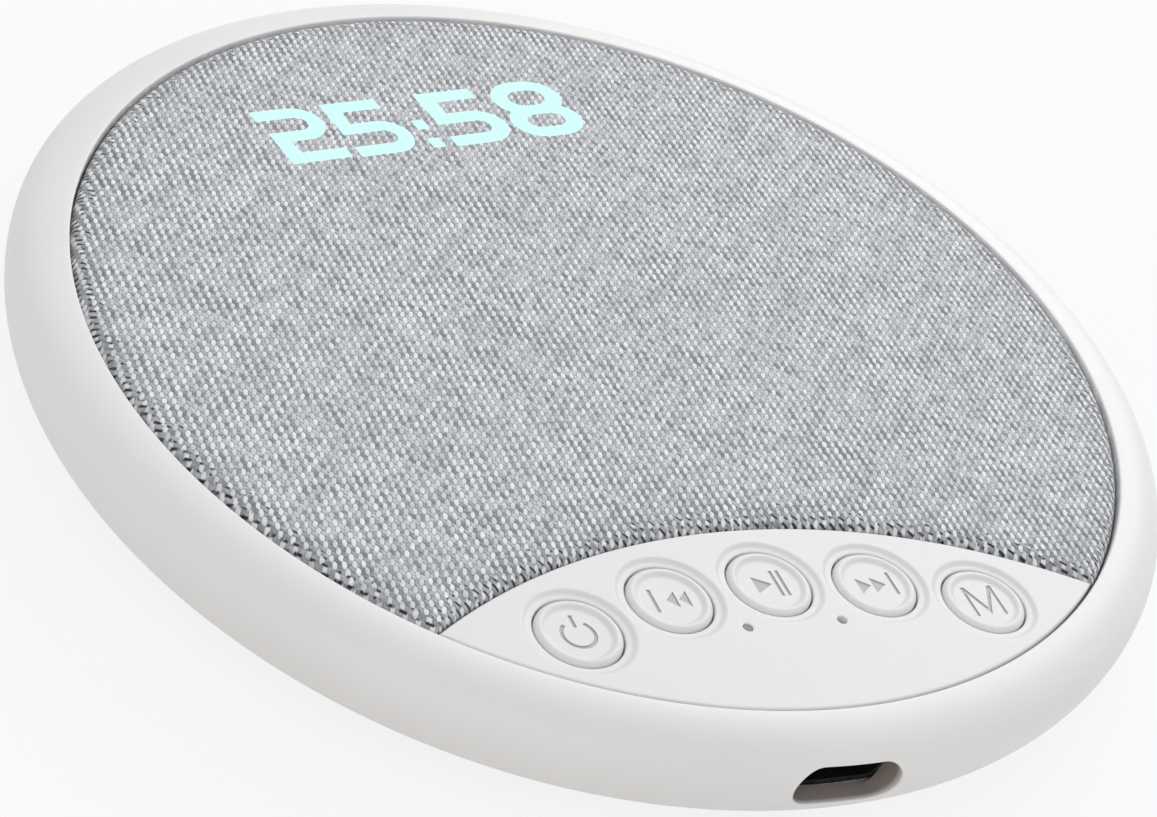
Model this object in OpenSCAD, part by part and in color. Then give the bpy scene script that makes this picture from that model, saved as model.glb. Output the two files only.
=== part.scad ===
// Pillow speaker: a flat round speaker with a cloth top, a lit clock behind the cloth, five push
// buttons on a lens-shaped panel and a charging port in the front edge. Millimetres.
// The origin is the middle of the underside, +Z is up, and the buttons and port face -Y.

/* [Shell] */
// Overall diameter
outer_d = 110; // [107:0.5:118]
// Width of the rim, from the cloth's opening to the outside
rim_w = 5; // [4.7:0.1:6]
// Height of the rim above its widest line
top_h = 3.85; // [3.7:0.05:4.1]
// Fullness of the rim's upper round, where 2 is a plain oval
top_power = 2.4; // [2:0.1:3]
// Radius of the rim's inner edge
lip_round = 0.2; // [0.1:0.05:0.3]
// Radius of the lower outer round
bottom_round = 6.5; // [6:0.1:8]
// Wall of the shell
wall = 1.9; // [1.5:0.1:2.2]
// Width of the ledge that carries the front plate
ledge_w = 3.5; // [2.5:0.1:3.8]
// Thickness of that ledge
ledge_t = 1; // [0.8:0.1:1.4]

/* [Underside] */
// Distance of the rear cover's edge from the lower round
cover_edge = 2.5; // [1.5:0.1:3.5]
// Thickness of the rear cover
cover_t = 1.6; // [1.5:0.1:2]
// Width of the shoulder that the rear cover seats against
shoulder_w = 1.6; // [1:0.1:2.2]
// Thickness of that shoulder
shoulder_t = 1; // [0.8:0.1:1.5]
// Diameter of a foot pad
foot_d = 9; // [6:0.5:9.5]
// Thickness of a foot pad
foot_t = 1.4; // [1.2:0.1:1.6]
// Height of a foot pad below the shell
foot_proud = 1; // [0.7:0.1:1.1]

/* [Top] */
// Thickness of the grille cloth
cloth_t = 0.5; // [0.3:0.1:0.7]
// Height of the cloth above the panel
cloth_rise = 0.45; // [0.3:0.05:0.6]
// Radius of the cloth's rolled edge
roll_r = 1.5; // [1.2:0.1:1.6]
// Thickness of the front plate under the cloth
plate_t = 2.4; // [2.3:0.05:2.6]
// Thickness of the control panel
panel_t = 1.2; // [1:0.05:1.4]
// Depth of the control panel, from the rim to the top of its arc
panel_depth = 21.4; // [20.5:0.1:23]
// Radius of the control panel's upper arc
panel_arc_r = 58; // [54:0.5:64]
// Chamfer on the control panel's upper edge
panel_edge = 0.2; // [0.1:0.05:0.4]
// Gap at the seams of the cloth and the panel
seam_gap = 0.15; // [0.1:0.05:0.3]

/* [Buttons] */
// Diameter of a button cap
button_d = 7.6; // [7:0.1:8]
// Gap around a button cap
button_gap = 0.25; // [0.2:0.05:0.35]
// Spacing of the buttons along their arc
button_pitch = 10.18; // [10:0.02:11]
// Distance of the button centres from the middle of the panel's depth, towards its arc
button_up = 4.2; // [3.8:0.1:4.6]
// Travel of a button
button_travel = 0.3; // [0.2:0.05:0.35]
// Height of a cap's rim above the panel
cap_proud = 0.15; // [0:0.05:0.4]
// Radius of a cap's rounded rim
cap_round = 0.5; // [0.4:0.05:0.7]
// Depth of the dish inside a cap's rim
cap_dish = 0.35; // [0.2:0.05:0.4]
// Thickness of the flange that keeps a cap under the panel
cap_flange_t = 0.6; // [0.5:0.05:0.7]
// Overlap of that flange behind the panel
cap_flange_w = 0.25; // [0.2:0.05:0.3]
// Diameter of a cap's stem
cap_stem_d = 2.8; // [2:0.1:3.2]
// Width of the shallow dish in the panel around a cap
panel_dish_w = 0.65; // [0.3:0.05:0.75]
// Depth of that dish
panel_dish = 0.25; // [0.15:0.05:0.4]
// Depth of an engraved sign
sign_depth = 0.15; // [0.1:0.05:0.2]
// Line width of an engraved sign
sign_line = 0.35; // [0.3:0.05:0.4]
// Diameter of the two pin holes
pin_hole_d = 0.9; // [0.8:0.05:1.1]
// Distance of the pin holes from the middle of the panel's depth, towards the rim
pin_down = 0.6; // [0.2:0.1:1]

/* [Switches] */
// Side of a switch
switch_w = 4.6; // [4:0.1:5]
// Height of a switch above the board, to the top of its cover
switch_h = 1.9; // [1.8:0.1:2]
// Thickness of a switch cover
switch_cover_t = 0.2; // [0.1:0.05:0.25]
// Height of a plunger above its switch cover
plunger_proud = 0.5; // [0.45:0.05:0.6]
// Diameter of a plunger
plunger_d = 2.2; // [2:0.1:2.4]
// Diameter of a plunger's collar
plunger_collar_d = 3.4; // [3.2:0.1:3.6]
// Thickness of a plunger's collar
plunger_collar_t = 0.35; // [0.3:0.05:0.4]
// Height of a contact dome
dome_h = 0.3; // [0.25:0.05:0.35]

/* [Port] */
// Width of the port's slot in the shell
slot_w = 10; // [9.6:0.1:10.4]
// Height of the port's slot in the shell
slot_h = 4.4; // [4.1:0.1:4.6]
// Distance of the port's centre from the middle, to the right
port_x = -0.8; // [-1:0.1:1]
// Height of the port's centre above the surface
port_z = 7.2; // [7.1:0.05:7.4]
// Depth of the socket's face behind the shell's outside
port_depth = 2.4; // [2.3:0.1:3]
// Width of the socket
usb_w = 8.94; // [8.8:0.02:9]
// Height of the socket
usb_h = 3.2; // [3.1:0.02:3.26]
// Length of the socket
usb_l = 7.3; // [7:0.1:7.6]
// Wall of the socket
usb_wall = 0.3; // [0.2:0.05:0.35]

/* [Display] */
// Height of a digit
digit_h = 8.5; // [7:0.1:8.8]
// Width of a digit
digit_w = 7.4; // [6.5:0.1:7.6]
// Stroke of a digit
digit_stroke = 1.6; // [1.2:0.05:1.7]
// Spacing of two digits
digit_pitch = 8.45; // [8.2:0.05:8.6]
// Room for the colon between the pairs of digits
colon_gap = 3.2; // [2.6:0.1:3.4]
// Turn of the display about the speaker's axis
display_turn = 11.3; // [0:0.1:14]
// Distance of the digits' middle from the cloth's opening
display_inset = 18.2; // [17.5:0.1:18.6]
// Distance of the digits' middle from that turned line, to the right
display_shift = -1.35; // [-2:0.05:1]
// Margin of the light mask around the digits
mask_margin = 1.6; // [1.2:0.1:1.8]
// Height of the light mask
mask_h = 3.75; // [3.5:0.05:3.9]
// Thickness of the diffusing film
film_t = 0.15; // [0.1:0.05:0.3]

/* [Speaker] */
// Distance of the driver's edge from the cloth's opening
spk_edge = 13; // [12:0.1:16]
// Height of the driver, from its flange to its yoke
spk_h = 5.2; // [5:0.05:5.3]
// Distance of the driver's edge from the middle of the case
spk_gap = 1; // [0.8:0.1:2]
// Width of the driver's flange
spk_flange_w = 3.2; // [3:0.1:3.6]
// Thickness of the driver's flange
spk_flange_t = 0.6; // [0.5:0.05:0.7]
// Thickness of the gasket in front of the driver
gasket_t = 0.7; // [0.7:0.05:0.8]
// Diameter of the magnet
magnet_d = 12.8; // [10:0.1:15]
// Gap between the magnet and the voice coil
coil_gap = 0.6; // [0.5:0.05:0.8]
// Winding thickness of the voice coil
coil_t = 0.6; // [0.4:0.05:0.7]
// Gap between the voice coil and the yoke's wall
yoke_gap = 0.5; // [0.3:0.05:0.8]
// Width of the surround between the cone and the flange
surround_w = 1; // [0.8:0.1:1.05]
// Thickness of the cone
cone_t = 0.3; // [0.2:0.05:0.4]
// Travel of the cone, each way
cone_travel = 0.4; // [0.2:0.05:0.45]
// Diameter of a grille hole
grille_hole_d = 1.8; // [1.4:0.1:2]
// Spacing of the grille holes
grille_pitch = 3.2; // [3:0.1:3.6]

/* [Battery] */
// Gap between the battery's tray and the case screw bosses
bat_boss_gap = 0.35; // [0.2:0.05:4]
// Gap between the battery's circuit board and the main board
bat_board_gap = 3.15; // [2.8:0.05:6]
// Thickness of the battery cell
bat_t = 4.2; // [3.6:0.1:4.3]
// Distance of the battery from the middle of the case
bat_gap = 2; // [1.8:0.1:2.4]
// Thickness of the tape under the battery
tape_t = 0.2; // [0.1:0.05:0.25]
// Length of the battery's circuit board
bat_circuit_l = 4; // [3.4:0.1:4.4]

/* [Boards] */
// Thickness of the circuit boards
board_t = 1; // [0.8:0.1:1.1]
// Distance of the main board from the cloth's opening
board_gap = 1; // [0.8:0.1:1.6]
// Distance of the main board's straight back edge from the middle button
board_over = 7.9; // [7.6:0.1:8.1]
// Distance of the main board's screws from its back edge
board_screw_in = 3.8; // [3.4:0.1:4.4]
// Distance of the main board's screws from its round edge
board_screw_edge = 6.95; // [6.5:0.05:7.5]
// Width of the ribbon cable
ribbon_w = 8; // [6:0.5:8]
// Thickness of the ribbon cable
ribbon_t = 0.15; // [0.1:0.05:0.2]
// Diameter of an inner lead
lead_d = 0.7; // [0.5:0.05:0.8]

/* [Fasteners] */
// Thread diameter of the case screws
screw_d = 2; // [1.8:0.1:2.2]
// Head diameter of the case screws
screw_head_d = 3.6; // [3.4:0.1:4]
// Head height of the case screws
screw_head_h = 1; // [0.8:0.1:1.1]
// Diameter of a case screw boss
boss_d = 5; // [4.4:0.1:5.2]
// Distance of the case screws from the rear cover's edge
boss_inset = 5; // [4.9:0.1:5.4]
// Angle of the case screws from the left-right line
boss_angle = 24; // [22:0.5:25]
// Thread diameter of the board screws
board_screw_d = 1.6; // [1.4:0.1:1.8]
// Diameter of a board screw boss
board_boss_d = 4; // [3.6:0.1:4.2]

/* [Hidden] */
$fn = 64;

// Clearance of a fitted piece, room around a moving one, and overlap of a cut
fit = 0.05;
slack = 0.3;
eps = 0.5;

// Radii of the shell
outer_r = outer_d / 2;
open_r = outer_r - rim_w;
ledge_r = open_r - ledge_w;
low_r = outer_r - bottom_round;
high_r = open_r + lip_round;
cover_r = low_r - cover_edge;
cover_hole_r = cover_r + fit;

// Levels of the shell, from the surface up
widest_z = foot_proud + bottom_round;
rim_z = widest_z + top_h - lip_round;
floor_z = foot_proud + cover_t;
shoulder_z = floor_z + shoulder_t;
cloth_z = rim_z + cloth_rise;
deck_z = cloth_z - cloth_t;
ledge_z = deck_z - plate_t;
panel_z = rim_z - panel_t;

// The panel's upper arc, and what lies on circles about its centre
arc_y = panel_depth - open_r - panel_arc_r;
cloth_arc_r = panel_arc_r + seam_gap;
button_arc_r = panel_arc_r - panel_depth / 2 + button_up;
button_step = button_pitch / button_arc_r * 180 / PI;
pin_arc_r = panel_arc_r - panel_depth / 2 - pin_down;
button_hole_r = button_d / 2 + button_gap;
flange_r = button_hole_r + cap_flange_w;
sign_r = 1.6;
sign_h = 0.75 * sign_r;
light_pipe_r = 1;
mic_boot_r = 1.6;

// Levels of the buttons and switches
board_z = port_z - usb_h / 2;
cap_z = rim_z + cap_proud;
flange_z = panel_z - fit;
cover_plate_z = board_z + switch_h - switch_cover_t;
plunger_z = board_z + switch_h + plunger_proud;
collar_z = cover_plate_z - fit;
dome_z = collar_z - plunger_collar_t - button_travel - dome_h - fit;

// The main board
board_r = open_r - board_gap;
board_y = arc_y + button_arc_r + board_over;
board_low_z = board_z - board_t;
board_screw_y = board_y - board_screw_in;
board_screw_x = sqrt(board_r * board_r - board_screw_y * board_screw_y) - board_screw_edge;

// The port
port_y = port_depth - outer_r;
port_pocket_w = usb_w + 2 * slack;
port_pocket_z = board_z + usb_h + slack / 2;
tongue_w = 6.7;
tongue_t = 0.7;
tongue_base_l = 1.2;

// The display
display_r = open_r - display_inset;
digits_w = 2 * digit_pitch + 2 * digit_w + colon_gap;
mask_w = digits_w + 2 * mask_margin;
mask_d = digit_h + 2 * mask_margin;
mask_z = deck_z - film_t - mask_h;
display_low_z = mask_z - board_t;
display_screw_x = mask_w / 2 + board_boss_d / 2 + slack;
display_w = 2 * display_screw_x + board_boss_d;
display_led_h = 0.6;
low_line = digit_stroke / 2;
high_line = digit_h - digit_stroke / 2;
right_line = digit_w - digit_stroke / 2;

// The speaker
spk_r = (open_r - spk_edge - spk_gap) / 2;
spk_x = -spk_r - spk_gap;
spk_z = ledge_z - gasket_t;
seat_r = spk_r - spk_flange_w;
cone_r = seat_r - surround_w;
coil_r = magnet_d / 2 + coil_gap;
yoke_wall = 0.9;
yoke_r = coil_r + coil_t + yoke_gap + yoke_wall;
yoke_z = spk_z - spk_h;
yoke_floor = 0.9;
yoke_h = 3;
pole_t = 0.7;
pole_r = coil_r - slack - 2 * fit;
cone_drop = 0.7;
cone_z = spk_z - cone_t - cone_drop;
dust_cap_h = 0.6;
surround_t = 0.15;
surround_lip = 0.8;
basket_z = yoke_z + 1.2;
basket_t = 0.8;
basket_w = 2.2;
basket_rise = 1;
collar_r = spk_r + 4 * fit;
collar_w = 1;
collar_depth = 0.5;

// The case screws
boss_r = cover_r - boss_inset;
foot_top_z = foot_t;
screw_seat_z = foot_top_z + screw_head_h;
screw_room = 0.5;
boss_spots = [for (sx = [-1, 1], sy = [-1, 1])
    boss_r * [sx * cos(boss_angle), sy * sin(boss_angle)]];
board_spots = [for (sx = [-1, 1]) [sx * board_screw_x, board_screw_y]];
display_spots = [for (sx = [-1, 1]) [sx * display_screw_x, 0]];

// The battery fills the room between the middle, the case screws and the main board
tray_wall = 1;
tray_h = 1.8;
tray_end = boss_r * cos(boss_angle) - boss_d / 2 - slack - bat_boss_gap;
tray_w = tray_end - tray_wall - bat_gap + slack;
bat_w = tray_w - 2 * slack;
circuit_y = board_y + bat_board_gap;
bat_l = -2 * (circuit_y + bat_circuit_l + fit);
bat_x = bat_gap + bat_w / 2;
bat_z = floor_z + tape_t;
tray_l = bat_l / 2 - circuit_y + slack;
tape_in = 2;
foam_w = 0.55 * bat_w;
foam_l = 0.6 * bat_l;
foam_x = bat_x + bat_w / 6;
circuit_w = 0.77 * bat_w;
circuit_h = 2.2;

// Inner leads, each along its own points
lead_gap = 1.2;
lead_lap = 1;
lead_run = 2;
speaker_lead_z = spk_z - spk_flange_t - lead_d / 2 - fit;
speaker_lead_end_z = board_z + lead_d / 2 + fit;
speaker_lead = [
    [lead_lap - spk_r, speaker_lead_z],
    [-spk_r - lead_run, speaker_lead_z],
    [board_y + lead_run + lead_lap, (speaker_lead_z + speaker_lead_end_z) / 2],
    [board_y, speaker_lead_end_z],
    [board_y - lead_run, speaker_lead_end_z]
];
battery_lead_z = board_low_z - lead_d / 2 - fit;
battery_lead = [
    [circuit_y, floor_z + circuit_h / 2],
    [circuit_y - lead_lap, floor_z + circuit_h / 2],
    [board_y - lead_lap, battery_lead_z],
    [board_y - lead_lap - lead_run, battery_lead_z]
];

// The ribbon runs over the battery, from under the display's board to its socket
socket_l = 3.8;
socket_w = ribbon_w + 2;
socket_h = 1.5;
socket_in = 1.4;
socket_y = board_y - socket_in - socket_l;
ribbon_x = 6;
ribbon_lap = 1.5;
ribbon_rise = 3.5;
ribbon_low_z = display_low_z - ribbon_t;
ribbon_high_z = bat_z + bat_t + slack;
ribbon_socket_z = board_z + socket_h / 2;
ribbon_path = [
    [display_r, ribbon_low_z],
    [bat_l / 2 + ribbon_lap + ribbon_rise, ribbon_low_z],
    [bat_l / 2 + ribbon_lap, ribbon_high_z],
    [circuit_y + ribbon_lap, ribbon_high_z],
    [socket_y + socket_l + ribbon_lap, ribbon_socket_z],
    [socket_y + socket_l, ribbon_socket_z]
];

// Pieces on the main board: sizes, and places as x and the distance in from its back edge
sound_chip_box = [7, 7, 0.9];
amplifier_box = [5, 4, 1.4];
memory_box = [5, 4, 1.2];
crystal_box = [3.2, 2.5, 0.8];
inductor_box = [5, 5, 2.2];
capacitor_box = [1.6, 0.8, 0.8];
led_box = [1.6, 0.8, 0.7];
mic_box = [3.5, 2.65, 1];
chip_screw_gap = 6;
sound_chip_at = [chip_screw_gap - board_screw_x, 4.4];
amplifier_at = [board_screw_x - chip_screw_gap, 4];
memory_at = [-9, 3.6];
crystal_at = [-14.8, 3.6];
inductor_at = [16, 4];
capacitor_spots = [
    [-23, 8.6], [-25.5, 8.6], [-28, 8.6], [23, 8.6],
    [25.5, 8.6], [-13, 15.5], [13, 15.5], [16, 16.5]
];

// Plane shapes

// A rectangle between two corners
module rect(a, b) {
    translate(a)
        square(b - a);
}

// A quarter disc with its corner at c, towards the side that dir points to
module quarter(c, r, dir) {
    translate(c)
        intersection() {
            circle(r);
            translate([min(dir.x, 0) * r, min(dir.y, 0) * r])
                square(r);
        }
}

// A slot with round ends
module stadium(w, h) {
    square([w - h, h], center = true);
    for (s = [-1, 1])
        translate([s * (w - h) / 2, 0])
            circle(d = h);
}

// A level bar and an upright bar of stroke w
module level_bar(x0, x1, y, w) {
    rect([x0, y - w / 2], [x1, y + w / 2]);
}

module upright_bar(x, y0, y1, w) {
    rect([x - w / 2, y0], [x + w / 2, y1]);
}

// A rectangle between two corners, with corners of radius r
module round_box(a, b, r) {
    rect(a + [r, 0], b - [r, 0]);
    rect(a + [0, r], b - [0, r]);
    quarter(a + [r, r], r, [-1, -1]);
    quarter([b.x - r, a.y + r], r, [1, -1]);
    quarter(b - [r, r], r, [1, 1]);
    quarter([a.x + r, b.y - r], r, [-1, 1]);
}

// Solid shapes

// A block standing on a level
module block(x, y, z, size) {
    translate([x - size.x / 2, y - size.y / 2, z])
        cube(size);
}

// A ring between two levels
module tube(z0, z1, r_out, r_in) {
    rotate_extrude()
        rect([r_in, z0], [r_out, z1]);
}

// A rod between two levels
module rod(z0, z1, r) {
    translate([0, 0, z0])
        cylinder(h = z1 - z0, r = r);
}

// Children at one place on the panel, counted in button spacings from the middle
module at_panel(steps, arc_r) {
    translate([0, arc_y, 0])
        rotate(-steps * button_step)
            translate([0, arc_r, 0])
                children();
}

// Children at each button
module at_buttons() {
    for (i = [-2 : 2])
        at_panel(i, button_arc_r)
            children();
}

// Children at each spot of a list
module at_spots(spots) {
    for (s = spots)
        translate(s)
            children();
}

// Children in the display's own frame, centred on the digits
module at_display() {
    rotate(display_turn)
        translate([display_shift, display_r, 0])
            children();
}

// Children in the speaker's own frame
module at_speaker() {
    translate([spk_x, 0, 0])
        children();
}

// A lead along points in its own Y-Z plane, swept with eight sides
function lead_dir(p, i) = let (d = p[min(i + 1, len(p) - 1)] - p[max(i - 1, 0)]) d / norm(d);
function lead_ring(p, i, x) = let (t = lead_dir(p, i))
    [for (k = [0 : 7]) [x + lead_d / 2 * cos(45 * k), p[i].x - t.y * lead_d / 2 * sin(45 * k),
        p[i].y + t.x * lead_d / 2 * sin(45 * k)]];
module lead(p, x) {
    last = 8 * (len(p) - 1);
    sides = [for (i = [0 : len(p) - 2], k = [0 : 7]) let (a = 8 * i + k, b = 8 * i + (k + 1) % 8)
        each [[a, b, a + 8], [b, b + 8, a + 8]]];
    ends = [for (k = [1 : 6]) each [[0, k + 1, k], [last, last + k, last + k + 1]]];
    polyhedron([for (i = [0 : len(p) - 1]) each lead_ring(p, i, x)], concat(sides, ends));
}

// Shell and underside

// The rim's upper round, from its widest line to its top
nose_steps = 18;
nose_points = [for (i = [0 : nose_steps]) let (a = 90 * i / nose_steps)
    [high_r + (outer_r - high_r) * pow(cos(a), 2 / top_power), widest_z + top_h * pow(sin(a), 2 / top_power)]];

module housing_section() {
    difference() {
        union() {
            quarter([low_r, widest_z], bottom_round, [1, -1]);
            polygon(concat([[high_r, widest_z]], nose_points));
            quarter([high_r, rim_z], lip_round, [-1, 1]);
            rect([cover_r - shoulder_w, foot_proud], [low_r, widest_z]);
            rect([ledge_r, widest_z], [high_r, ledge_z]);
            rect([open_r, ledge_z], [high_r, rim_z]);
        }
        rect([0, 0], [cover_hole_r, floor_z]);
        intersection() {
            rect([0, shoulder_z], [outer_r - wall, ledge_z - ledge_t]);
            union() {
                rect([0, 0], [low_r, rim_z]);
                translate([low_r, widest_z])
                    circle(bottom_round - wall);
            }
        }
    }
}

// The rim, its ledge and the port's slot
module housing() color("white")
    difference() {
        rotate_extrude()
            housing_section();
        translate([port_x, -low_r, port_z])
            rotate([90, 0, 0])
                linear_extrude(bottom_round + eps)
                    stadium(slot_w, slot_h);
        translate([port_x - port_pocket_w / 2, wall - outer_r, board_z])
            cube([port_pocket_w, outer_r - wall - ledge_r + eps, port_pocket_z - board_z]);
    }

// Flat cover with foot recesses, screw seats and three walls around the battery
module rear_cover() color("gainsboro")
    difference() {
        union() {
            rod(foot_proud, floor_z, cover_r);
            at_spots(boss_spots)
                rod(floor_z - eps, shoulder_z, boss_d / 2 + slack);
            difference() {
                translate([bat_gap - slack - tray_wall, circuit_y - fit, floor_z - eps])
                    cube([tray_w + 2 * tray_wall, tray_l + tray_wall, tray_h + eps]);
                translate([bat_gap - slack, circuit_y - 2 * eps, floor_z])
                    cube([tray_w, tray_l + 2 * eps, tray_h + eps]);
            }
        }
        at_spots(boss_spots) {
            rod(0, foot_top_z, foot_d / 2 + fit);
            rod(0, screw_seat_z, screw_head_d / 2 + fit);
            rod(0, shoulder_z + eps, screw_d / 2 + fit);
        }
    }

// Four rubber pads that hide the case screws
module foot_pads() color("dimgray")
    at_spots(boss_spots)
        rotate_extrude()
            polygon([
                [0, 0], [foot_d / 2 - slack, 0], [foot_d / 2, slack],
                [foot_d / 2, foot_top_z], [0, foot_top_z]
            ]);

// A pan head with a cross recess below and a plain shank above
module screw(z_head, head_d, head_h, d, z_tip) {
    difference() {
        rod(z_head, z_head + head_h, head_d / 2);
        for (a = [0, 90])
            rotate(a)
                block(0, 0, z_head - eps, [head_d * 0.6, head_d * 0.15, eps + head_h / 2]);
    }
    rod(z_head + head_h, z_tip, d / 2);
}

module case_screws() color("silver")
    at_spots(boss_spots)
        screw(foot_top_z, screw_head_d, screw_head_h, screw_d, ledge_z - 2 * screw_room);

// Top

// The front plate's section, with the round that the cloth rolls over
module plate_section() {
    rect([0, ledge_z], [open_r - seam_gap - roll_r, deck_z]);
    rect([0, ledge_z], [open_r - seam_gap - cloth_t, cloth_z - roll_r]);
    quarter([open_r - seam_gap - roll_r, cloth_z - roll_r], roll_r - cloth_t, [1, 1]);
}

// The cloth's outer section, from its flat top to its tucked edge
module cloth_section() {
    rect([0, ledge_z + fit], [open_r - seam_gap - roll_r, cloth_z]);
    rect([0, ledge_z + fit], [open_r - seam_gap, cloth_z - roll_r]);
    quarter([open_r - seam_gap - roll_r, cloth_z - roll_r], roll_r, [1, 1]);
}

// What the panel takes out of the plate or the cloth above a level, with a sloping edge
module panel_recess(z, r) {
    slope = roll_r / 2;
    translate([0, arc_y, 0]) {
        rod(z, cloth_z + eps, r);
        translate([0, 0, cloth_z - slope])
            cylinder(h = slope + eps, r1 = r, r2 = r + slope + eps);
    }
}

// The deck under the cloth, with the grille holes, the display window and the screw bosses
module plate_body() {
    difference() {
        rotate_extrude()
            plate_section();
        panel_recess(panel_z, cloth_arc_r + cloth_t);
    }
}

module grille_holes() {
    reach = seat_r - grille_hole_d;
    row = grille_pitch * sqrt(3) / 2;
    rows = floor(reach / row);
    for (j = [-rows : rows], i = [-rows - 2 : rows + 2])
        let (p = [(i + 0.5 * (abs(j) % 2)) * grille_pitch, j * row])
            if (norm(p) < reach)
                translate(p)
                    rod(ledge_z - eps, deck_z + eps, grille_hole_d / 2);
}

module front_plate() color("white")
    difference() {
        union() {
            plate_body();
            at_spots(boss_spots)
                rod(shoulder_z, ledge_z + eps, boss_d / 2);
            at_spots(board_spots)
                rod(board_z, ledge_z + eps, board_boss_d / 2);
            at_display()
                at_spots(display_spots)
                    rod(mask_z, ledge_z + eps, board_boss_d / 2);
            at_speaker()
                tube(spk_z - collar_depth, ledge_z + eps, collar_r + collar_w, collar_r);
        }
        at_speaker()
            grille_holes();
        at_display()
            block(0, 0, ledge_z - eps, [mask_w + 2 * fit, mask_d + 2 * fit, plate_t + 2 * eps]);
        at_buttons()
            rod(ledge_z - eps, panel_z + eps, flange_r + slack);
        at_panel(-0.5, pin_arc_r)
            rod(ledge_z - eps, panel_z + eps, light_pipe_r + fit);
        at_panel(0.5, pin_arc_r)
            rod(ledge_z - eps, panel_z + eps, mic_boot_r + fit);
        at_spots(boss_spots)
            rod(shoulder_z - eps, ledge_z - screw_room, screw_d / 2 + fit);
        at_spots(board_spots)
            rod(board_z - eps, ledge_z - screw_room, board_screw_d / 2 + fit);
        at_display()
            at_spots(display_spots)
                rod(mask_z - eps, ledge_z - screw_room, board_screw_d / 2 + fit);
        translate([port_x - port_pocket_w / 2, -outer_r, ledge_z - eps])
            cube([port_pocket_w, outer_r + port_y + usb_l + slack, port_pocket_z - ledge_z + eps]);
    }

// Cloth stretched over the plate, rolled over its edge and tucked down at the panel
module grille_cloth() color("darkgray")
    difference() {
        rotate_extrude()
            cloth_section();
        panel_recess(ledge_z, cloth_arc_r);
        plate_body();
        translate([0, arc_y, 0])
            rod(ledge_z - eps, panel_z, cloth_arc_r + cloth_t + fit);
    }

// The lens between the rim and the upper arc
module lens(r, arc_r, z0, z1) {
    intersection() {
        rotate_extrude()
            polygon([[0, z0], [r, z0], [r, z1 - panel_edge], [r - panel_edge, z1], [0, z1]]);
        translate([0, arc_y, 0])
            rotate_extrude()
                polygon([[0, z0], [arc_r, z0], [arc_r, z1 - panel_edge], [arc_r - panel_edge, z1], [0, z1]]);
    }
}

module control_panel() color("white")
    difference() {
        lens(open_r - seam_gap, panel_arc_r, panel_z, rim_z);
        at_buttons() {
            rod(panel_z - eps, rim_z + eps, button_hole_r);
            translate([0, 0, rim_z - panel_dish])
                cylinder(h = panel_dish, r1 = button_hole_r, r2 = button_hole_r + panel_dish_w);
        }
        for (s = [-0.5, 0.5])
            at_panel(s, pin_arc_r)
                rod(panel_z - eps, rim_z + eps, pin_hole_d / 2);
    }

// Buttons

module cap_section() {
    cap_r = button_d / 2;
    rect([0, flange_z - cap_flange_t], [cap_r, cap_z - cap_round]);
    translate([cap_r - cap_round, cap_z - cap_round])
        intersection() {
            circle(cap_round);
            rect([-cap_round, 0], [cap_round, cap_round]);
        }
    rect([0, cap_z - cap_round], [cap_r - cap_round, cap_z - cap_dish]);
    rect([0, flange_z - cap_flange_t], [flange_r, flange_z]);
    rect([0, plunger_z], [cap_stem_d / 2, flange_z - cap_flange_t]);
}

// A cap with a flange and a stem, and the sign that its child draws cut into the dish
module button_cap(steps) {
    at_panel(steps, button_arc_r)
        difference() {
            rotate_extrude()
                cap_section();
            translate([0, 0, cap_z - cap_dish - sign_depth])
                linear_extrude(sign_depth + eps)
                    rotate(steps * button_step)
                        children();
        }
}

module power_sign() {
    difference() {
        circle(sign_r);
        circle(sign_r - sign_line);
        rect([-sign_line * 1.7, 0], [sign_line * 1.7, sign_r + eps]);
    }
    rect([-sign_line / 2, sign_r * 0.15], [sign_line / 2, sign_r * 1.15]);
}

// A triangle that points along +X from x
module arrow(x) {
    polygon([[x, -sign_h], [x + sign_r, 0], [x, sign_h]]);
}

module next_sign() {
    arrow(-sign_r * 1.1);
    arrow(-sign_r * 0.08);
    rect([sign_r * 0.95, -sign_h], [sign_r * 0.95 + sign_line, sign_h]);
}

module play_sign() {
    arrow(-sign_r);
    for (x = [sign_r * 0.2, sign_r * 0.75])
        rect([x, -sign_h], [x + sign_line, sign_h]);
}

module mode_sign() {
    w = sign_r * 0.95;
    for (s = [-1, 1]) {
        rect([s * w - sign_line / 2, -sign_r * 0.8], [s * w + sign_line / 2, sign_r * 0.8]);
        polygon([[0, -sign_r * 0.5], [s * w, sign_r * 0.8], [s * w, sign_r * 0.8 - sign_line * 1.6],
            [0, -sign_r * 0.5 - sign_line * 1.6]]);
    }
}

module power_button() color("white") button_cap(-2) power_sign();
module previous_button() color("white") button_cap(-1) mirror([1, 0, 0]) next_sign();
module play_button() color("white") button_cap(0) play_sign();
module next_button() color("white") button_cap(1) next_sign();
module mode_button() color("white") button_cap(2) mode_sign();

// A plunger with the collar that keeps it in its switch
module plunger(steps) color("dimgray")
    at_panel(steps, button_arc_r)
        rotate_extrude() {
            rect([0, collar_z - plunger_collar_t], [plunger_collar_d / 2, collar_z]);
            rect([0, collar_z], [plunger_d / 2, plunger_z]);
        }

module power_plunger() plunger(-2);
module previous_plunger() plunger(-1);
module play_plunger() plunger(0);
module next_plunger() plunger(1);
module mode_plunger() plunger(2);

module switch_bases() color("darkslategray")
    at_buttons()
        difference() {
            block(0, 0, board_z, [switch_w, switch_w, cover_plate_z - board_z]);
            rod(dome_z, cover_plate_z + eps, plunger_collar_d / 2 + slack);
        }

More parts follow.
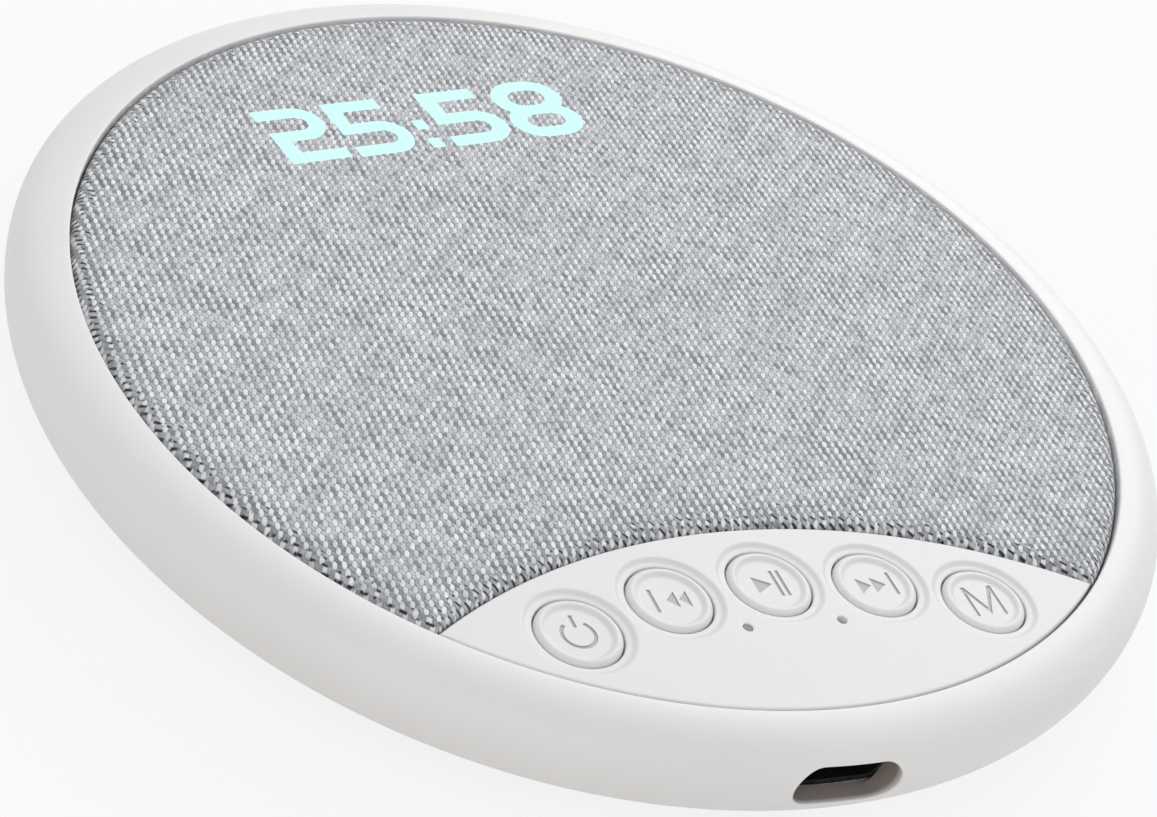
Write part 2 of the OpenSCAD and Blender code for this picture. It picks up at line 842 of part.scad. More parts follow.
module switch_covers() color("silver")
    at_buttons()
        difference() {
            block(0, 0, cover_plate_z, [switch_w, switch_w, switch_cover_t]);
            rod(cover_plate_z - eps, cover_plate_z + switch_cover_t + eps, plunger_d / 2 + 2 * fit);
        }

// Snap domes, drawn pressed in under the plungers
module switch_domes() color("gold")
    at_buttons()
        rotate_extrude()
            polygon([
                [0, dome_z], [plunger_collar_d / 2, dome_z],
                [plunger_d / 2, dome_z + dome_h], [0, dome_z + dome_h]
            ]);

// Main board and what it carries

module main_board() color("darkgreen")
    difference() {
        intersection() {
            rod(board_low_z, board_z, board_r);
            translate([-outer_r, -outer_r, board_low_z - eps])
                cube([outer_d, outer_r + board_y, board_t + 2 * eps]);
        }
        at_spots(board_spots)
            rod(board_low_z - eps, board_z + eps, board_screw_d / 2 + fit);
    }

// Screws that hold the main board and the display's board to the front plate's bosses
module board_screws() color("silver") {
    head_h = board_screw_d / 2;
    at_spots(board_spots)
        screw(board_low_z - head_h, 2 * board_screw_d, head_h, board_screw_d, ledge_z - 2 * screw_room);
    at_display()
        at_spots(display_spots)
            screw(display_low_z - head_h, 2 * board_screw_d, head_h, board_screw_d, ledge_z - 2 * screw_room);
}

module usb_shell() color("silver")
    translate([port_x, port_y + usb_l, port_z])
        rotate([90, 0, 0])
            linear_extrude(usb_l)
                difference() {
                    stadium(usb_w, usb_h);
                    stadium(usb_w - 2 * usb_wall, usb_h - 2 * usb_wall);
                }

// The contact tongue on its base at the back of the socket
module usb_tongue() color("black") {
    tongue_l = usb_l - 2 * tongue_base_l + 2 * slack;
    translate([port_x, port_y + usb_l, port_z])
        rotate([90, 0, 0])
            linear_extrude(tongue_base_l)
                stadium(usb_w - 2 * usb_wall - 2 * fit, usb_h - 2 * usb_wall - 2 * fit);
    block(port_x, port_y + usb_l / 2 + slack, port_z - tongue_t / 2, [tongue_w, tongue_l, tongue_t]);
}

// A chip on the main board
module chip(at, size) {
    block(at.x, board_y - at.y, board_z, size);
}

module sound_chip() color("black") chip(sound_chip_at, sound_chip_box);
module amplifier_chip() color("black") chip(amplifier_at, amplifier_box);
module memory_chip() color("black") chip(memory_at, memory_box);
module crystal() color("silver") chip(crystal_at, crystal_box);
module power_inductor() color("dimgray") chip(inductor_at, inductor_box);

module board_capacitors() color("tan")
    for (at = capacitor_spots)
        chip(at, capacitor_box);

module ribbon_socket() color("ivory")
    block(ribbon_x, socket_y + socket_l / 2, board_z, [socket_w, socket_l, socket_h]);

// Indicator: a light on the board and the pipe that brings it to the panel
module status_led() color("lightyellow")
    at_panel(-0.5, pin_arc_r)
        block(0, 0, board_z, led_box);

module light_pipe() color("white")
    at_panel(-0.5, pin_arc_r)
        rotate_extrude() {
            rect([0, board_z + led_box.z + fit], [light_pipe_r, panel_z]);
            rect([0, panel_z], [pin_hole_d / 2 - fit, rim_z - 2 * fit]);
        }

// Microphone and the rubber boot that joins it to its pin hole
module microphone() color("silver")
    at_panel(0.5, pin_arc_r)
        block(0, 0, board_z, mic_box);

module mic_boot() color("black")
    at_panel(0.5, pin_arc_r)
        tube(board_z + mic_box.z, panel_z, mic_boot_r, pin_hole_d / 2);

// Display

// Digits as strokes about their centre lines: w is the stroke, wider for the wells than for the
// light guides.
// The right-hand bend of a two or a five is two quarter rings joined by a short upright.
module bend(x, y0, y1, w) {
    r = bend_r(y0, y1);
    upright_bar(x, y0 + r, y1 - r, w);
    arc_bar([x - r, y0 + r], r, w, [1, -1]);
    arc_bar([x - r, y1 - r], r, w, [1, 1]);
}

function bend_r(y0, y1) = 0.45 * (y1 - y0);

// A quarter of a ring of stroke w
module arc_bar(c, r, w, dir) {
    difference() {
        quarter(c, r + w / 2, dir);
        translate(c)
            circle(r - w / 2);
    }
}

module two(w) {
    grow = (w - digit_stroke) / 2;
    mid = digit_h / 2;
    r = bend_r(mid, high_line);
    level_bar(-grow, right_line - r, high_line, w);
    bend(right_line, mid, high_line, w);
    level_bar(low_line, right_line - r, mid, w);
    upright_bar(low_line, low_line, mid + w / 2, w);
    level_bar(-grow, digit_w + grow, low_line, w);
}

module five(w) {
    grow = (w - digit_stroke) / 2;
    mid = digit_h * 0.56;
    r = bend_r(low_line, mid);
    level_bar(-grow, digit_w - digit_stroke / 3 + grow, high_line, w);
    upright_bar(low_line, mid, high_line, w);
    level_bar(-grow, right_line - r, mid, w);
    bend(right_line, low_line, mid, w);
    level_bar(-grow, right_line - r, low_line, w);
}

// Two stacked loops with round corners
module eight(w) {
    grow = [w - digit_stroke, w - digit_stroke] / 2;
    line = [digit_stroke, digit_stroke];
    for (low = [0, (digit_h - digit_stroke) / 2]) {
        a = [0, low];
        b = [digit_w, low + (digit_h + digit_stroke) / 2];
        difference() {
            round_box(a - grow, b + grow, digit_stroke * 1.35);
            round_box(a + line + grow, b - line - grow, digit_stroke * 0.5);
        }
    }
}

module colon(w) {
    for (y = [low_line, digit_h / 2])
        translate([0, y])
            square(w, center = true);
}

// The clock face, centred
module clock_face(w) {
    left = -digits_w / 2;
    right = colon_gap / 2;
    translate([left, -digit_h / 2])
        two(w);
    translate([left + digit_pitch, -digit_h / 2])
        five(w);
    translate([0, -digit_h / 2])
        colon(w);
    translate([right, -digit_h / 2])
        five(w);
    translate([right + digit_pitch, -digit_h / 2])
        eight(w);
}

module display_board() color("darkgreen")
    at_display()
        difference() {
            block(0, 0, display_low_z, [display_w, mask_d, board_t]);
            at_spots(display_spots)
                rod(display_low_z - eps, mask_z + eps, board_screw_d / 2 + fit);
        }

// A block under the upper and the lower bar of each digit
module display_lights(z, h, margin) {
    size = [digit_stroke, digit_stroke * 0.5] + 2 * [margin, margin];
    for (y = [low_line, high_line], left = [-digits_w / 2, colon_gap / 2], i = [0, 1])
        block(left + i * digit_pitch + digit_w / 2, y - digit_h / 2, z, [size.x, size.y, h]);
}

module display_leds() color("lightyellow")
    at_display()
        display_lights(mask_z, display_led_h, 0);

// Black block whose wells keep the digits' light apart, with a pocket for each light in its floor
module display_mask() color([0.12, 0.12, 0.13])
    at_display()
        difference() {
            block(0, 0, mask_z, [mask_w, mask_d, mask_h]);
            translate([0, 0, mask_z + display_led_h])
                linear_extrude(mask_h)
                    clock_face(digit_stroke + 2 * fit);
            display_lights(mask_z - eps, display_led_h + 2 * eps, fit);
        }

// Clear light guides that fill the wells
module display_digits() color("paleturquoise")
    at_display()
        translate([0, 0, mask_z + display_led_h + fit])
            linear_extrude(mask_h - display_led_h - fit)
                clock_face(digit_stroke);

module display_film() color("whitesmoke")
    at_display()
        block(0, 0, deck_z - film_t, [mask_w, mask_d, film_t]);

module display_ribbon() color("burlywood")
    translate([ribbon_x - ribbon_w / 2, 0, 0])
        rotate([90, 0, 90])
            linear_extrude(ribbon_w)
                polygon(concat(ribbon_path,
                    [for (i = [len(ribbon_path) - 1 : -1 : 0]) ribbon_path[i] + [0, ribbon_t]]));

// Speaker driver

module speaker_basket() color("dimgray")
    at_speaker()
        rotate_extrude()
            polygon([
                [seat_r, spk_z], [spk_r, spk_z], [spk_r, spk_z - spk_flange_t],
                [spk_r - basket_rise, spk_z - spk_flange_t],
                [yoke_r + basket_w, basket_z + basket_rise], [yoke_r + basket_w, basket_z],
                [yoke_r + fit, basket_z], [yoke_r + fit, basket_z + basket_t],
                [yoke_r + basket_w - basket_t, basket_z + basket_t],
                [yoke_r + basket_w - basket_t, basket_z + basket_t + eps],
                [seat_r, spk_z - spk_flange_t]
            ]);

module speaker_yoke() color("silver")
    at_speaker()
        difference() {
            rod(yoke_z, yoke_z + yoke_h, yoke_r);
            rod(yoke_z + yoke_floor, yoke_z + yoke_h + eps, yoke_r - yoke_wall);
        }

module speaker_magnet() color("gray")
    at_speaker()
        rod(yoke_z + yoke_floor, yoke_z + yoke_h - pole_t, magnet_d / 2);

module speaker_pole_plate() color("silver")
    at_speaker()
        rod(yoke_z + yoke_h - pole_t, yoke_z + yoke_h, pole_r);

module voice_coil() color("peru")
    at_speaker()
        tube(yoke_z + yoke_floor + cone_travel + slack, cone_z, coil_r + coil_t, coil_r);

module speaker_cone() color([0.2, 0.2, 0.22])
    at_speaker()
        rotate_extrude()
            polygon([
                [coil_r - coil_t, cone_z], [coil_r + coil_t, cone_z], [cone_r, cone_z + cone_drop],
                [cone_r, cone_z + cone_drop + cone_t], [coil_r + coil_t, cone_z + cone_t],
                [coil_r - coil_t, cone_z + cone_t]
            ]);

// A shallow dome that closes the cone
module dust_cap() color([0.15, 0.15, 0.16]) {
    base_z = cone_z + cone_t;
    dome_r = (coil_r * coil_r + dust_cap_h * dust_cap_h) / (2 * dust_cap_h);
    at_speaker()
        rotate_extrude()
            intersection() {
                translate([0, base_z + dust_cap_h - dome_r])
                    difference() {
                        circle(dome_r, $fn = 720);
                        circle(dome_r - cone_t, $fn = 720);
                    }
                rect([0, base_z], [coil_r, base_z + 2 * dust_cap_h]);
            }
}

// Half-roll that carries the cone's edge on the flange
module speaker_surround() color([0.1, 0.1, 0.1]) {
    mid_r = (cone_r + seat_r) / 2;
    at_speaker()
        rotate_extrude() {
            rect([cone_r - surround_lip, spk_z], [cone_r, spk_z + surround_t]);
            rect([seat_r, spk_z], [seat_r + surround_lip, spk_z + surround_t]);
            intersection() {
                translate([mid_r, spk_z])
                    difference() {
                        circle(surround_w / 2 + surround_t);
                        circle(surround_w / 2);
                    }
                rect([0, spk_z], [outer_r, ledge_z]);
            }
        }
}

module speaker_gasket() color("black")
    at_speaker()
        tube(spk_z, ledge_z, spk_r, seat_r + surround_lip + 4 * fit);

module speaker_leads() color("firebrick")
    for (s = [-1, 1])
        lead(speaker_lead, spk_x + s * lead_gap);

// Battery

module battery_tape() color("ivory")
    block(bat_x, 0, floor_z, [bat_w - 2 * tape_in, bat_l - 2 * tape_in, tape_t]);

module battery_cell() color("lightsteelblue")
    block(bat_x, 0, bat_z, [bat_w, bat_l, bat_t]);

module battery_circuit() color("darkgoldenrod")
    block(bat_x, circuit_y + bat_circuit_l / 2, floor_z, [circuit_w, bat_circuit_l, circuit_h]);

module battery_leads() color("firebrick")
    for (s = [-1, 1])
        lead(battery_lead, bat_x + s * lead_gap);

// Foam that presses the cell down from the front plate
module battery_foam() color("slategray")
    block(foam_x, 0, bat_z + bat_t, [foam_w, foam_l, ledge_z - bat_z - bat_t]);

housing();
rear_cover();
foot_pads();
case_screws();
front_plate();
grille_cloth();
control_panel();
power_button();
previous_button();
play_button();
next_button();
mode_button();
power_plunger();
previous_plunger();
play_plunger();
next_plunger();
mode_plunger();
switch_bases();
switch_covers();
switch_domes();
main_board();
board_screws();
usb_shell();
usb_tongue();
sound_chip();
amplifier_chip();
memory_chip();
power_inductor();
crystal();
board_capacitors();
ribbon_socket();
status_led();
light_pipe();
microphone();
mic_boot();
display_board();
display_leds();
display_mask();
display_digits();
display_film();
display_ribbon();
speaker_basket();
speaker_yoke();
speaker_magnet();
speaker_pole_plate();
voice_coil();
speaker_cone();
dust_cap();
speaker_surround();
speaker_gasket();
speaker_leads();
battery_cell();
battery_circuit();
battery_leads();
battery_tape();
battery_foam();
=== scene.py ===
import bmesh
import bpy
import numpy as np
from mathutils import Matrix, Vector
from mathutils.geometry import delaunay_2d_cdt


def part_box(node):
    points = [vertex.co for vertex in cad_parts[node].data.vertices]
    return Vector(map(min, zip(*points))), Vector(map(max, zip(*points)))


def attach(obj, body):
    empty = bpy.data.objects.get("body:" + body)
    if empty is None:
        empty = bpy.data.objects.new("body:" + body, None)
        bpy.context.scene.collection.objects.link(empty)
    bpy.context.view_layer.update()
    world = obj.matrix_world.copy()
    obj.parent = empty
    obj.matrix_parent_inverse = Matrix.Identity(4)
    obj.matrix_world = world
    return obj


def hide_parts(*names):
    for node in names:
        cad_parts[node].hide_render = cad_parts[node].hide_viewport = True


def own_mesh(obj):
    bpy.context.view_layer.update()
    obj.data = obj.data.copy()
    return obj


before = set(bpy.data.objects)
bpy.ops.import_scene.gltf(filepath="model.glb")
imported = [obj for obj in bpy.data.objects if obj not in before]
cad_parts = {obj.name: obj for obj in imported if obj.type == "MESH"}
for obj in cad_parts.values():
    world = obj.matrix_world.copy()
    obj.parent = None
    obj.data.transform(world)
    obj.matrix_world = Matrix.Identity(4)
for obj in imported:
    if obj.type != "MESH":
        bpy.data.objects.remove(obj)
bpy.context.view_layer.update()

mm = 0.001  # shapes are worked out in millimetres, meshes hold metres
tiny = 1e-6  # points closer than this are one point
print("frame loaded with", len(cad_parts), "nodes")


def ease(t):
    # 0 to 1 with level ends
    t = np.clip(t, 0, 1)
    return t * t * (3 - 2 * t)


def gridFaces(rows, columns):
    # quads between neighbouring points of a grid that goes round in its columns
    i = np.arange(rows - 1)[:, None] * columns
    j = np.arange(columns)[None, :]
    k = (j + 1) % columns
    return np.stack([i + j, i + k, i + columns + k, i + columns + j], -1).reshape(-1, 4)


def arcPoints(centre, radius, start, end, steps):
    # points on a circle from one angle to another, in degrees
    a = np.radians(np.linspace(start, end, steps + 1))
    return np.stack([centre[0] + radius * np.cos(a), centre[1] + radius * np.sin(a)], 1)


def spin(section, columns, centre=(0, 0)):
    # a section of (radius, height) carried round a circle, counted from the front edge
    a = np.linspace(0, 2 * np.pi, columns, endpoint=False)
    r, z = section[:, :1], section[:, 1:]
    return np.stack([centre[0] + r * np.sin(a), centre[1] - r * np.cos(a), z + 0 * a], -1)


def levelRing(centre, radius, steps):
    # a closed loop of (x, y) points, in step with spin
    return spin(np.array([[radius, 0.0]]), steps, centre)[0, :, :2]


def inLoop(points, loop):
    # even-odd test of all the points against one closed loop
    a, b = loop, np.roll(loop, -1, 0)
    x, y = points[:, :1], points[:, 1:]
    rise = b[:, 1] - a[:, 1]
    crosses = (a[:, 1] > y) != (b[:, 1] > y)
    at = a[:, 0] + (y - a[:, 1]) / np.where(rise == 0, 1, rise) * (b[:, 0] - a[:, 0])
    return (crosses & (x < at)).sum(1) % 2 == 1


def inShapes(points, shapes):
    # inside any shape; a shape is a list of loops, its holes among them
    found = [np.sum([inLoop(points, loop) for loop in shape], 0) % 2 == 1 for shape in shapes]
    return np.any(found, 0)


class Patches:
    # collects the grids and flat fills of one piece, a value per point, and welds them into a mesh
    def __init__(self):
        self.points, self.values, self.faces, self.marks, self.count = [], [], [], [], 0

    def put(self, points, faces, value=0.0, mark=0.0):
        # one patch, with a value for each point and a mark for each face
        self.points.append(points)
        self.values.append(np.broadcast_to(value, len(points)))
        self.marks.append(np.broadcast_to(mark, len(faces)))
        self.faces += (faces + self.count).tolist()
        self.count += len(points)

    def grid(self, points, value=0.0, keep=None):
        # rows of points that go round, with a value for each row; keep says which faces stay
        rows, columns = points.shape[:2]
        faces = gridFaces(rows, columns)
        self.put(points.reshape(-1, 3), faces if keep is None else faces[keep],
                 np.repeat(np.broadcast_to(value, rows), columns))

    def fill(self, loops, height, inside, value=0.0, mark=None):
        # level triangles between closed loops; inside says by their middles which are kept
        at, edges = 0, []
        for loop in loops:
            i = np.arange(len(loop))
            edges.append(np.stack([at + i, at + (i + 1) % len(loop)], 1))
            at += len(loop)
        made = delaunay_2d_cdt(np.vstack(loops).tolist(), np.vstack(edges).tolist(), [], 0, tiny)
        level, faces = np.array([p[:] for p in made[0]]), np.array(made[2])
        middles = level[faces].mean(1)
        kept = inside(middles)
        marks = 0.0 if mark is None else mark(middles[kept]).astype(float)
        self.put(np.column_stack([level, np.full(len(level), height)]), faces[kept], value, marks)

    def piece(self, name, material, valueName=None, markName=None, bend=32, closed=True):
        # the finished object: doubles welded, loose points dropped, normals outwards, sharp past the bend
        mesh = bpy.data.meshes.new(name)
        mesh.from_pydata((np.vstack(self.points) * mm).tolist(), [], self.faces)
        for key, domain, values in ((valueName, "POINT", self.values), (markName, "FACE", self.marks)):
            if key:
                mesh.attributes.new(key, "FLOAT", domain).data.foreach_set("value", np.concatenate(values))
        work = bmesh.new()
        work.from_mesh(mesh)
        bmesh.ops.remove_doubles(work, verts=work.verts, dist=tiny)
        loose = [v for v in work.verts if not v.link_faces]
        bmesh.ops.delete(work, geom=loose, context="VERTS")
        bmesh.ops.recalc_face_normals(work, faces=work.faces)
        if not closed and sum(f.normal.z * f.calc_area() for f in work.faces) < 0:
            bmesh.ops.reverse_faces(work, faces=work.faces)
        work.to_mesh(mesh)
        work.free()
        mesh.shade_smooth()
        mesh.set_sharp_from_angle(angle=np.radians(bend))
        mesh.materials.append(material)
        thing = bpy.data.objects.new(name, mesh)
        bpy.context.scene.collection.objects.link(thing)
        return thing


class Val:
    # a value socket, so that shader maths reads as plain sums
    def __init__(self, net, socket):
        self.net, self.socket = net, socket

    def __add__(self, other): return self.net.math("ADD", self, other)
    def __radd__(self, other): return self.net.math("ADD", other, self)
    def __sub__(self, other): return self.net.math("SUBTRACT", self, other)
    def __rsub__(self, other): return self.net.math("SUBTRACT", other, self)
    def __mul__(self, other): return self.net.math("MULTIPLY", self, other)
    def __rmul__(self, other): return self.net.math("MULTIPLY", other, self)
    def __abs__(self): return self.net.math("ABSOLUTE", self)


class Net:
    # the nodes of one material, or of the world
    def __init__(self, name, owner=None):
        self.owner = owner or bpy.data.materials.new(name)
        self.owner.use_nodes = True
        self.tree = self.owner.node_tree
        self.tree.nodes.clear()

    def add(self, kind, settings={}, inputs={}):
        # any node: its settings are set first, then a value or a link for each socket
        node = self.tree.nodes.new(kind)
        for key, value in settings.items():
            setattr(node, key, value)
        for key, value in inputs.items():
            value = value.socket if isinstance(value, Val) else value
            if isinstance(value, bpy.types.NodeSocket):
                self.tree.links.new(value, node.inputs[key])
            else:
                node.inputs[key].default_value = value
        return node

    def math(self, kind, *values):
        # one Math node on values or numbers
        node = self.add("ShaderNodeMath", {"operation": kind}, dict(enumerate(values)))
        return Val(self, node.outputs[0])

    def step(self, value, low, high):
        # eases from 0 at low to 1 at high
        node = self.add("ShaderNodeMapRange", {"interpolation_type": "SMOOTHSTEP"},
                        {"Value": value, "From Min": low, "From Max": high})
        return Val(self, node.outputs["Result"])

    def mix(self, factor, a, b, blend="MIX"):
        # two colours through Mix; a plain colour is three numbers
        a, b = [(*c, 1.0) if isinstance(c, tuple) else c for c in (a, b)]
        node = self.add("ShaderNodeMix", {"data_type": "RGBA", "blend_type": blend},
                        {0: factor, 6: a, 7: b})
        return node.outputs[2]

    def grey(self, value):
        # a colour with one value in all its channels
        node = self.add("ShaderNodeCombineColor", {}, {"Red": value, "Green": value, "Blue": value})
        return node.outputs[0]

    def place(self, scale=(1, 1, 1), turn=(0, 0, 0)):
        # object coordinates in metres, turned and stretched
        coords = self.add("ShaderNodeTexCoord").outputs["Object"]
        node = self.add("ShaderNodeMapping", {}, {"Vector": coords, "Rotation": turn, "Scale": scale})
        return node.outputs[0]

    def noise(self, at, scale, detail=2.0, rough=0.5):
        # clouds between 0 and 1
        node = self.add("ShaderNodeTexNoise", {},
                        {"Vector": at, "Scale": scale, "Detail": detail, "Roughness": rough})
        return Val(self, node.outputs["Fac"])

    def named(self, name):
        # a value that the mesh carries
        return Val(self, self.add("ShaderNodeAttribute", {"attribute_name": name}).outputs["Fac"])

    def bump(self, height, strength, distance):
        # the normal of a surface with that relief
        node = self.add("ShaderNodeBump", {}, {"Height": height, "Strength": strength, "Distance": distance})
        return node.outputs[0]

    def surface(self, **sockets):
        # the shader and its output; an underscore in a socket's name stands for a space
        inputs = {key.replace("_", " "): value for key, value in sockets.items()}
        shader = self.add("ShaderNodeBsdfPrincipled", {}, inputs)
        self.add("ShaderNodeOutputMaterial", {}, {"Surface": shader.outputs[0]})
        return self.owner


# the port colour is painted shade for the slot's wall, and the icon colour is painted shade for the sunk
# signs' grooves
whitePlastic = dict(shell=(0.845, 0.842, 0.838), panel=(0.795, 0.795, 0.795), iconShade=(0.47, 0.465, 0.465),
                    paintedPortShade=(0.36, 0.315, 0.29), cloud=0.97, cloudScale=45, grain=2400, grainShare=0.6,
                    spread=(0.3, 0.7), gloss=(0.34, 0.46), specular=0.4, bump=0.12, relief=0.00002)


def makePlastic(name, tone, valueName=None, shadeTone=None):
    # satin moulded plastic: a faint cloudy tone, and a fine grain in its gloss and surface
    net = Net(name)
    at = net.place()
    cloud = net.noise(at, whitePlastic["cloudScale"], 3)
    grain = net.noise(at, whitePlastic["grain"], 2)
    spread, share = whitePlastic["spread"], whitePlastic["grainShare"]
    base = net.mix(net.step(cloud, *spread), tuple(c * whitePlastic["cloud"] for c in tone), tone)
    low, high = whitePlastic["gloss"]
    gloss = low + (high - low) * net.step(grain * share + cloud * (1 - share), *spread)
    # a value the mesh carries mixes in a darker tone as painted shade: the slot's wall, or the sunk signs
    if valueName:
        base = net.mix(net.named(valueName), base, shadeTone)
    return net.surface(Base_Color=base, Roughness=gloss, Specular_IOR_Level=whitePlastic["specular"],
                       Normal=net.bump(grain, whitePlastic["bump"], whitePlastic["relief"]))


# a pair is where a change starts and ends; spread is how dark and how pale a yarn's tone gets
weave = dict(pitch=0.58, wander=0.36, drift=420, sway=480, swayTurn=1.2,  # threads, and how uneven they lie
             cross=0.25, lean=0.4, section=0.6, meet=0.12,  # shape of the crossings
             warp=dict(tone=(0.905, 0.93, 0.97), spread=(0.74, 1.03), seed=3.1, specks=0.2),
             weft=dict(tone=(0.51, 0.526, 0.56), spread=(0.54, 1.32), seed=17.4, specks=0.5),
             # pace goes along a thread and apart from thread to thread, in the clouds that make the slubs
             slub=dict(pace=0.09, apart=(3.7, 0.61), rough=0.65, change=(0.38, 0.62)),
             speck=1500,  # per metre, about one to a crossing
             fibre=dict(scale=5200, change=(0.25, 0.75), share=0.3, dark=0.65, range=0.5),
             gap=dict(tone=(0.10, 0.104, 0.112), change=(0.1, 0.7)),
             # on the roll: pale is painted light that offsets the roll's shading, deep is painted shade on
             # the weft, and the dashes are painted shade in the parted gaps
             edge=dict(pale=0.15, paleChange=(0.4, 0.8), deep=0.3, deepChange=(0.0, 0.7)),
             dash=dict(tone=(0.03, 0.03, 0.033), wide=(0.3, 0.9), ends=(0.4, 0.75), shift=0.37,
                       atEdge=0.5, rare=(0.74, 0.94)),
             lamp=(0.6, 0.98, 0.93), lampPale=(0.66, 0.99, 0.945), lampBack=(0.03, 0.05, 0.05),
             rough=0.9, sheen=0.15, sheenRough=0.5, specular=0.2, bump=0.55, relief=0.00013)


def makeWeave():
    # plain weave on the bias: u and v count threads along the two diagonals; a thread's height is its
    # rounded section plus a wave that carries it over and under, and the higher thread is the one seen;
    # lean stretches the bumps of the wave into columns along y
    net = Net("melangeWeave")
    at = net.place()
    parts = net.add("ShaderNodeSeparateXYZ", {}, {0: at})
    x, y = (Val(net, parts.outputs[n]) for n in range(2))
    perThread = 1 / (np.sqrt(2) * weave["pitch"] * mm)
    drift = net.noise(at, weave["drift"], 3)
    sway = net.noise(net.place(turn=(0, 0, weave["swayTurn"])), weave["sway"], 3)
    u = (x + y) * perThread + (drift - 0.5) * weave["wander"] * 2
    v = (x - y) * perThread + (sway - 0.5) * weave["wander"] * 2
    su, sv = net.math("SINE", u * np.pi), net.math("SINE", v * np.pi)
    cross = su * sv * weave["cross"] - net.math("COSINE", (u + v) * np.pi) * weave["lean"]
    warpHigh = abs(sv) * weave["section"] + cross
    weftHigh = abs(su) * weave["section"] - cross
    height = net.math("MAXIMUM", warpHigh, weftHigh)
    warpOnTop = net.step(warpHigh - weftHigh, -weave["meet"], weave["meet"])
    speck = net.noise(at, weave["speck"], 2)

    def yarnTone(along, across, yarn):
        # each thread has its own grey, which changes slowly along it: the slubs of a melange yarn
        slub, own = weave["slub"], net.math("FLOOR", across)
        spot = net.add("ShaderNodeCombineXYZ", {}, {0: along * slub["pace"],
                                                    1: own * slub["apart"][0] + yarn["seed"],
                                                    2: own * slub["apart"][1]})
        cloud = net.noise(spot.outputs[0], 1.0, 3, slub["rough"])
        tone = net.step(cloud * (1 - yarn["specks"]) + speck * yarn["specks"], *slub["change"])
        dark, pale = (tuple(c * share for c in yarn["tone"]) for share in yarn["spread"])
        return net.mix(tone, dark, pale)

    warp, weft = yarnTone(u, v, weave["warp"]), yarnTone(v, u, weave["weft"])
    edge = net.named("edge")  # 1 at the cloth's outer edge, 0.5 where its roll ends, 0 on the level field
    change = weave["edge"]
    # the weft is painted darker down the roll, painted shade where the cloth turns down into the gap
    deep = net.step(edge, *change["deepChange"]) * change["deep"]
    weft = net.mix(1.0, weft, net.grey(1 - deep), "MULTIPLY")
    yarn = net.mix(warpOnTop, weft, warp)
    fibre = weave["fibre"]
    hairs = net.step(net.noise(at, fibre["scale"], 2), *fibre["change"])
    yarn = net.mix(fibre["share"], yarn, net.grey(hairs * fibre["range"] + fibre["dark"]), "MULTIPLY")
    shown = net.step(height, *weave["gap"]["change"])
    base = net.mix(shown, weave["gap"]["tone"], yarn)

    # on the roll the tone is lifted towards the warp's pale tone, painted light that offsets the roll's
    # shading; where the weft threads part, dark dashes about one thread long are painted shade in the gaps,
    # most of them at the very edge
    base = net.mix(net.step(edge, *change["paleChange"]) * change["pale"], base, weave["warp"]["tone"])
    dash = weave["dash"]
    ends = abs(net.math("SINE", (v * 0.5 + net.math("FLOOR", u + 0.5) * dash["shift"]) * np.pi))
    between = 1 - net.step(abs(su), *dash["wide"])
    some = net.step(speck + edge * dash["atEdge"], *dash["rare"])
    base = net.mix(between * net.step(ends, *dash["ends"]) * some, base, dash["tone"])

    lit = net.named("lit")  # 1 on the digits
    glow = net.mix(shown * warpOnTop, weave["lamp"], weave["lampPale"])  # the warp passes a little more light
    return net.surface(Base_Color=net.mix(lit, base, weave["lampBack"]), Roughness=weave["rough"],
                       Sheen_Weight=weave["sheen"], Sheen_Roughness=weave["sheenRough"],
                       Specular_IOR_Level=weave["specular"],
                       Emission_Color=net.mix(lit, (0.0, 0.0, 0.0), glow), Emission_Strength=1.0,
                       Normal=net.bump(height, weave["bump"], weave["relief"]))


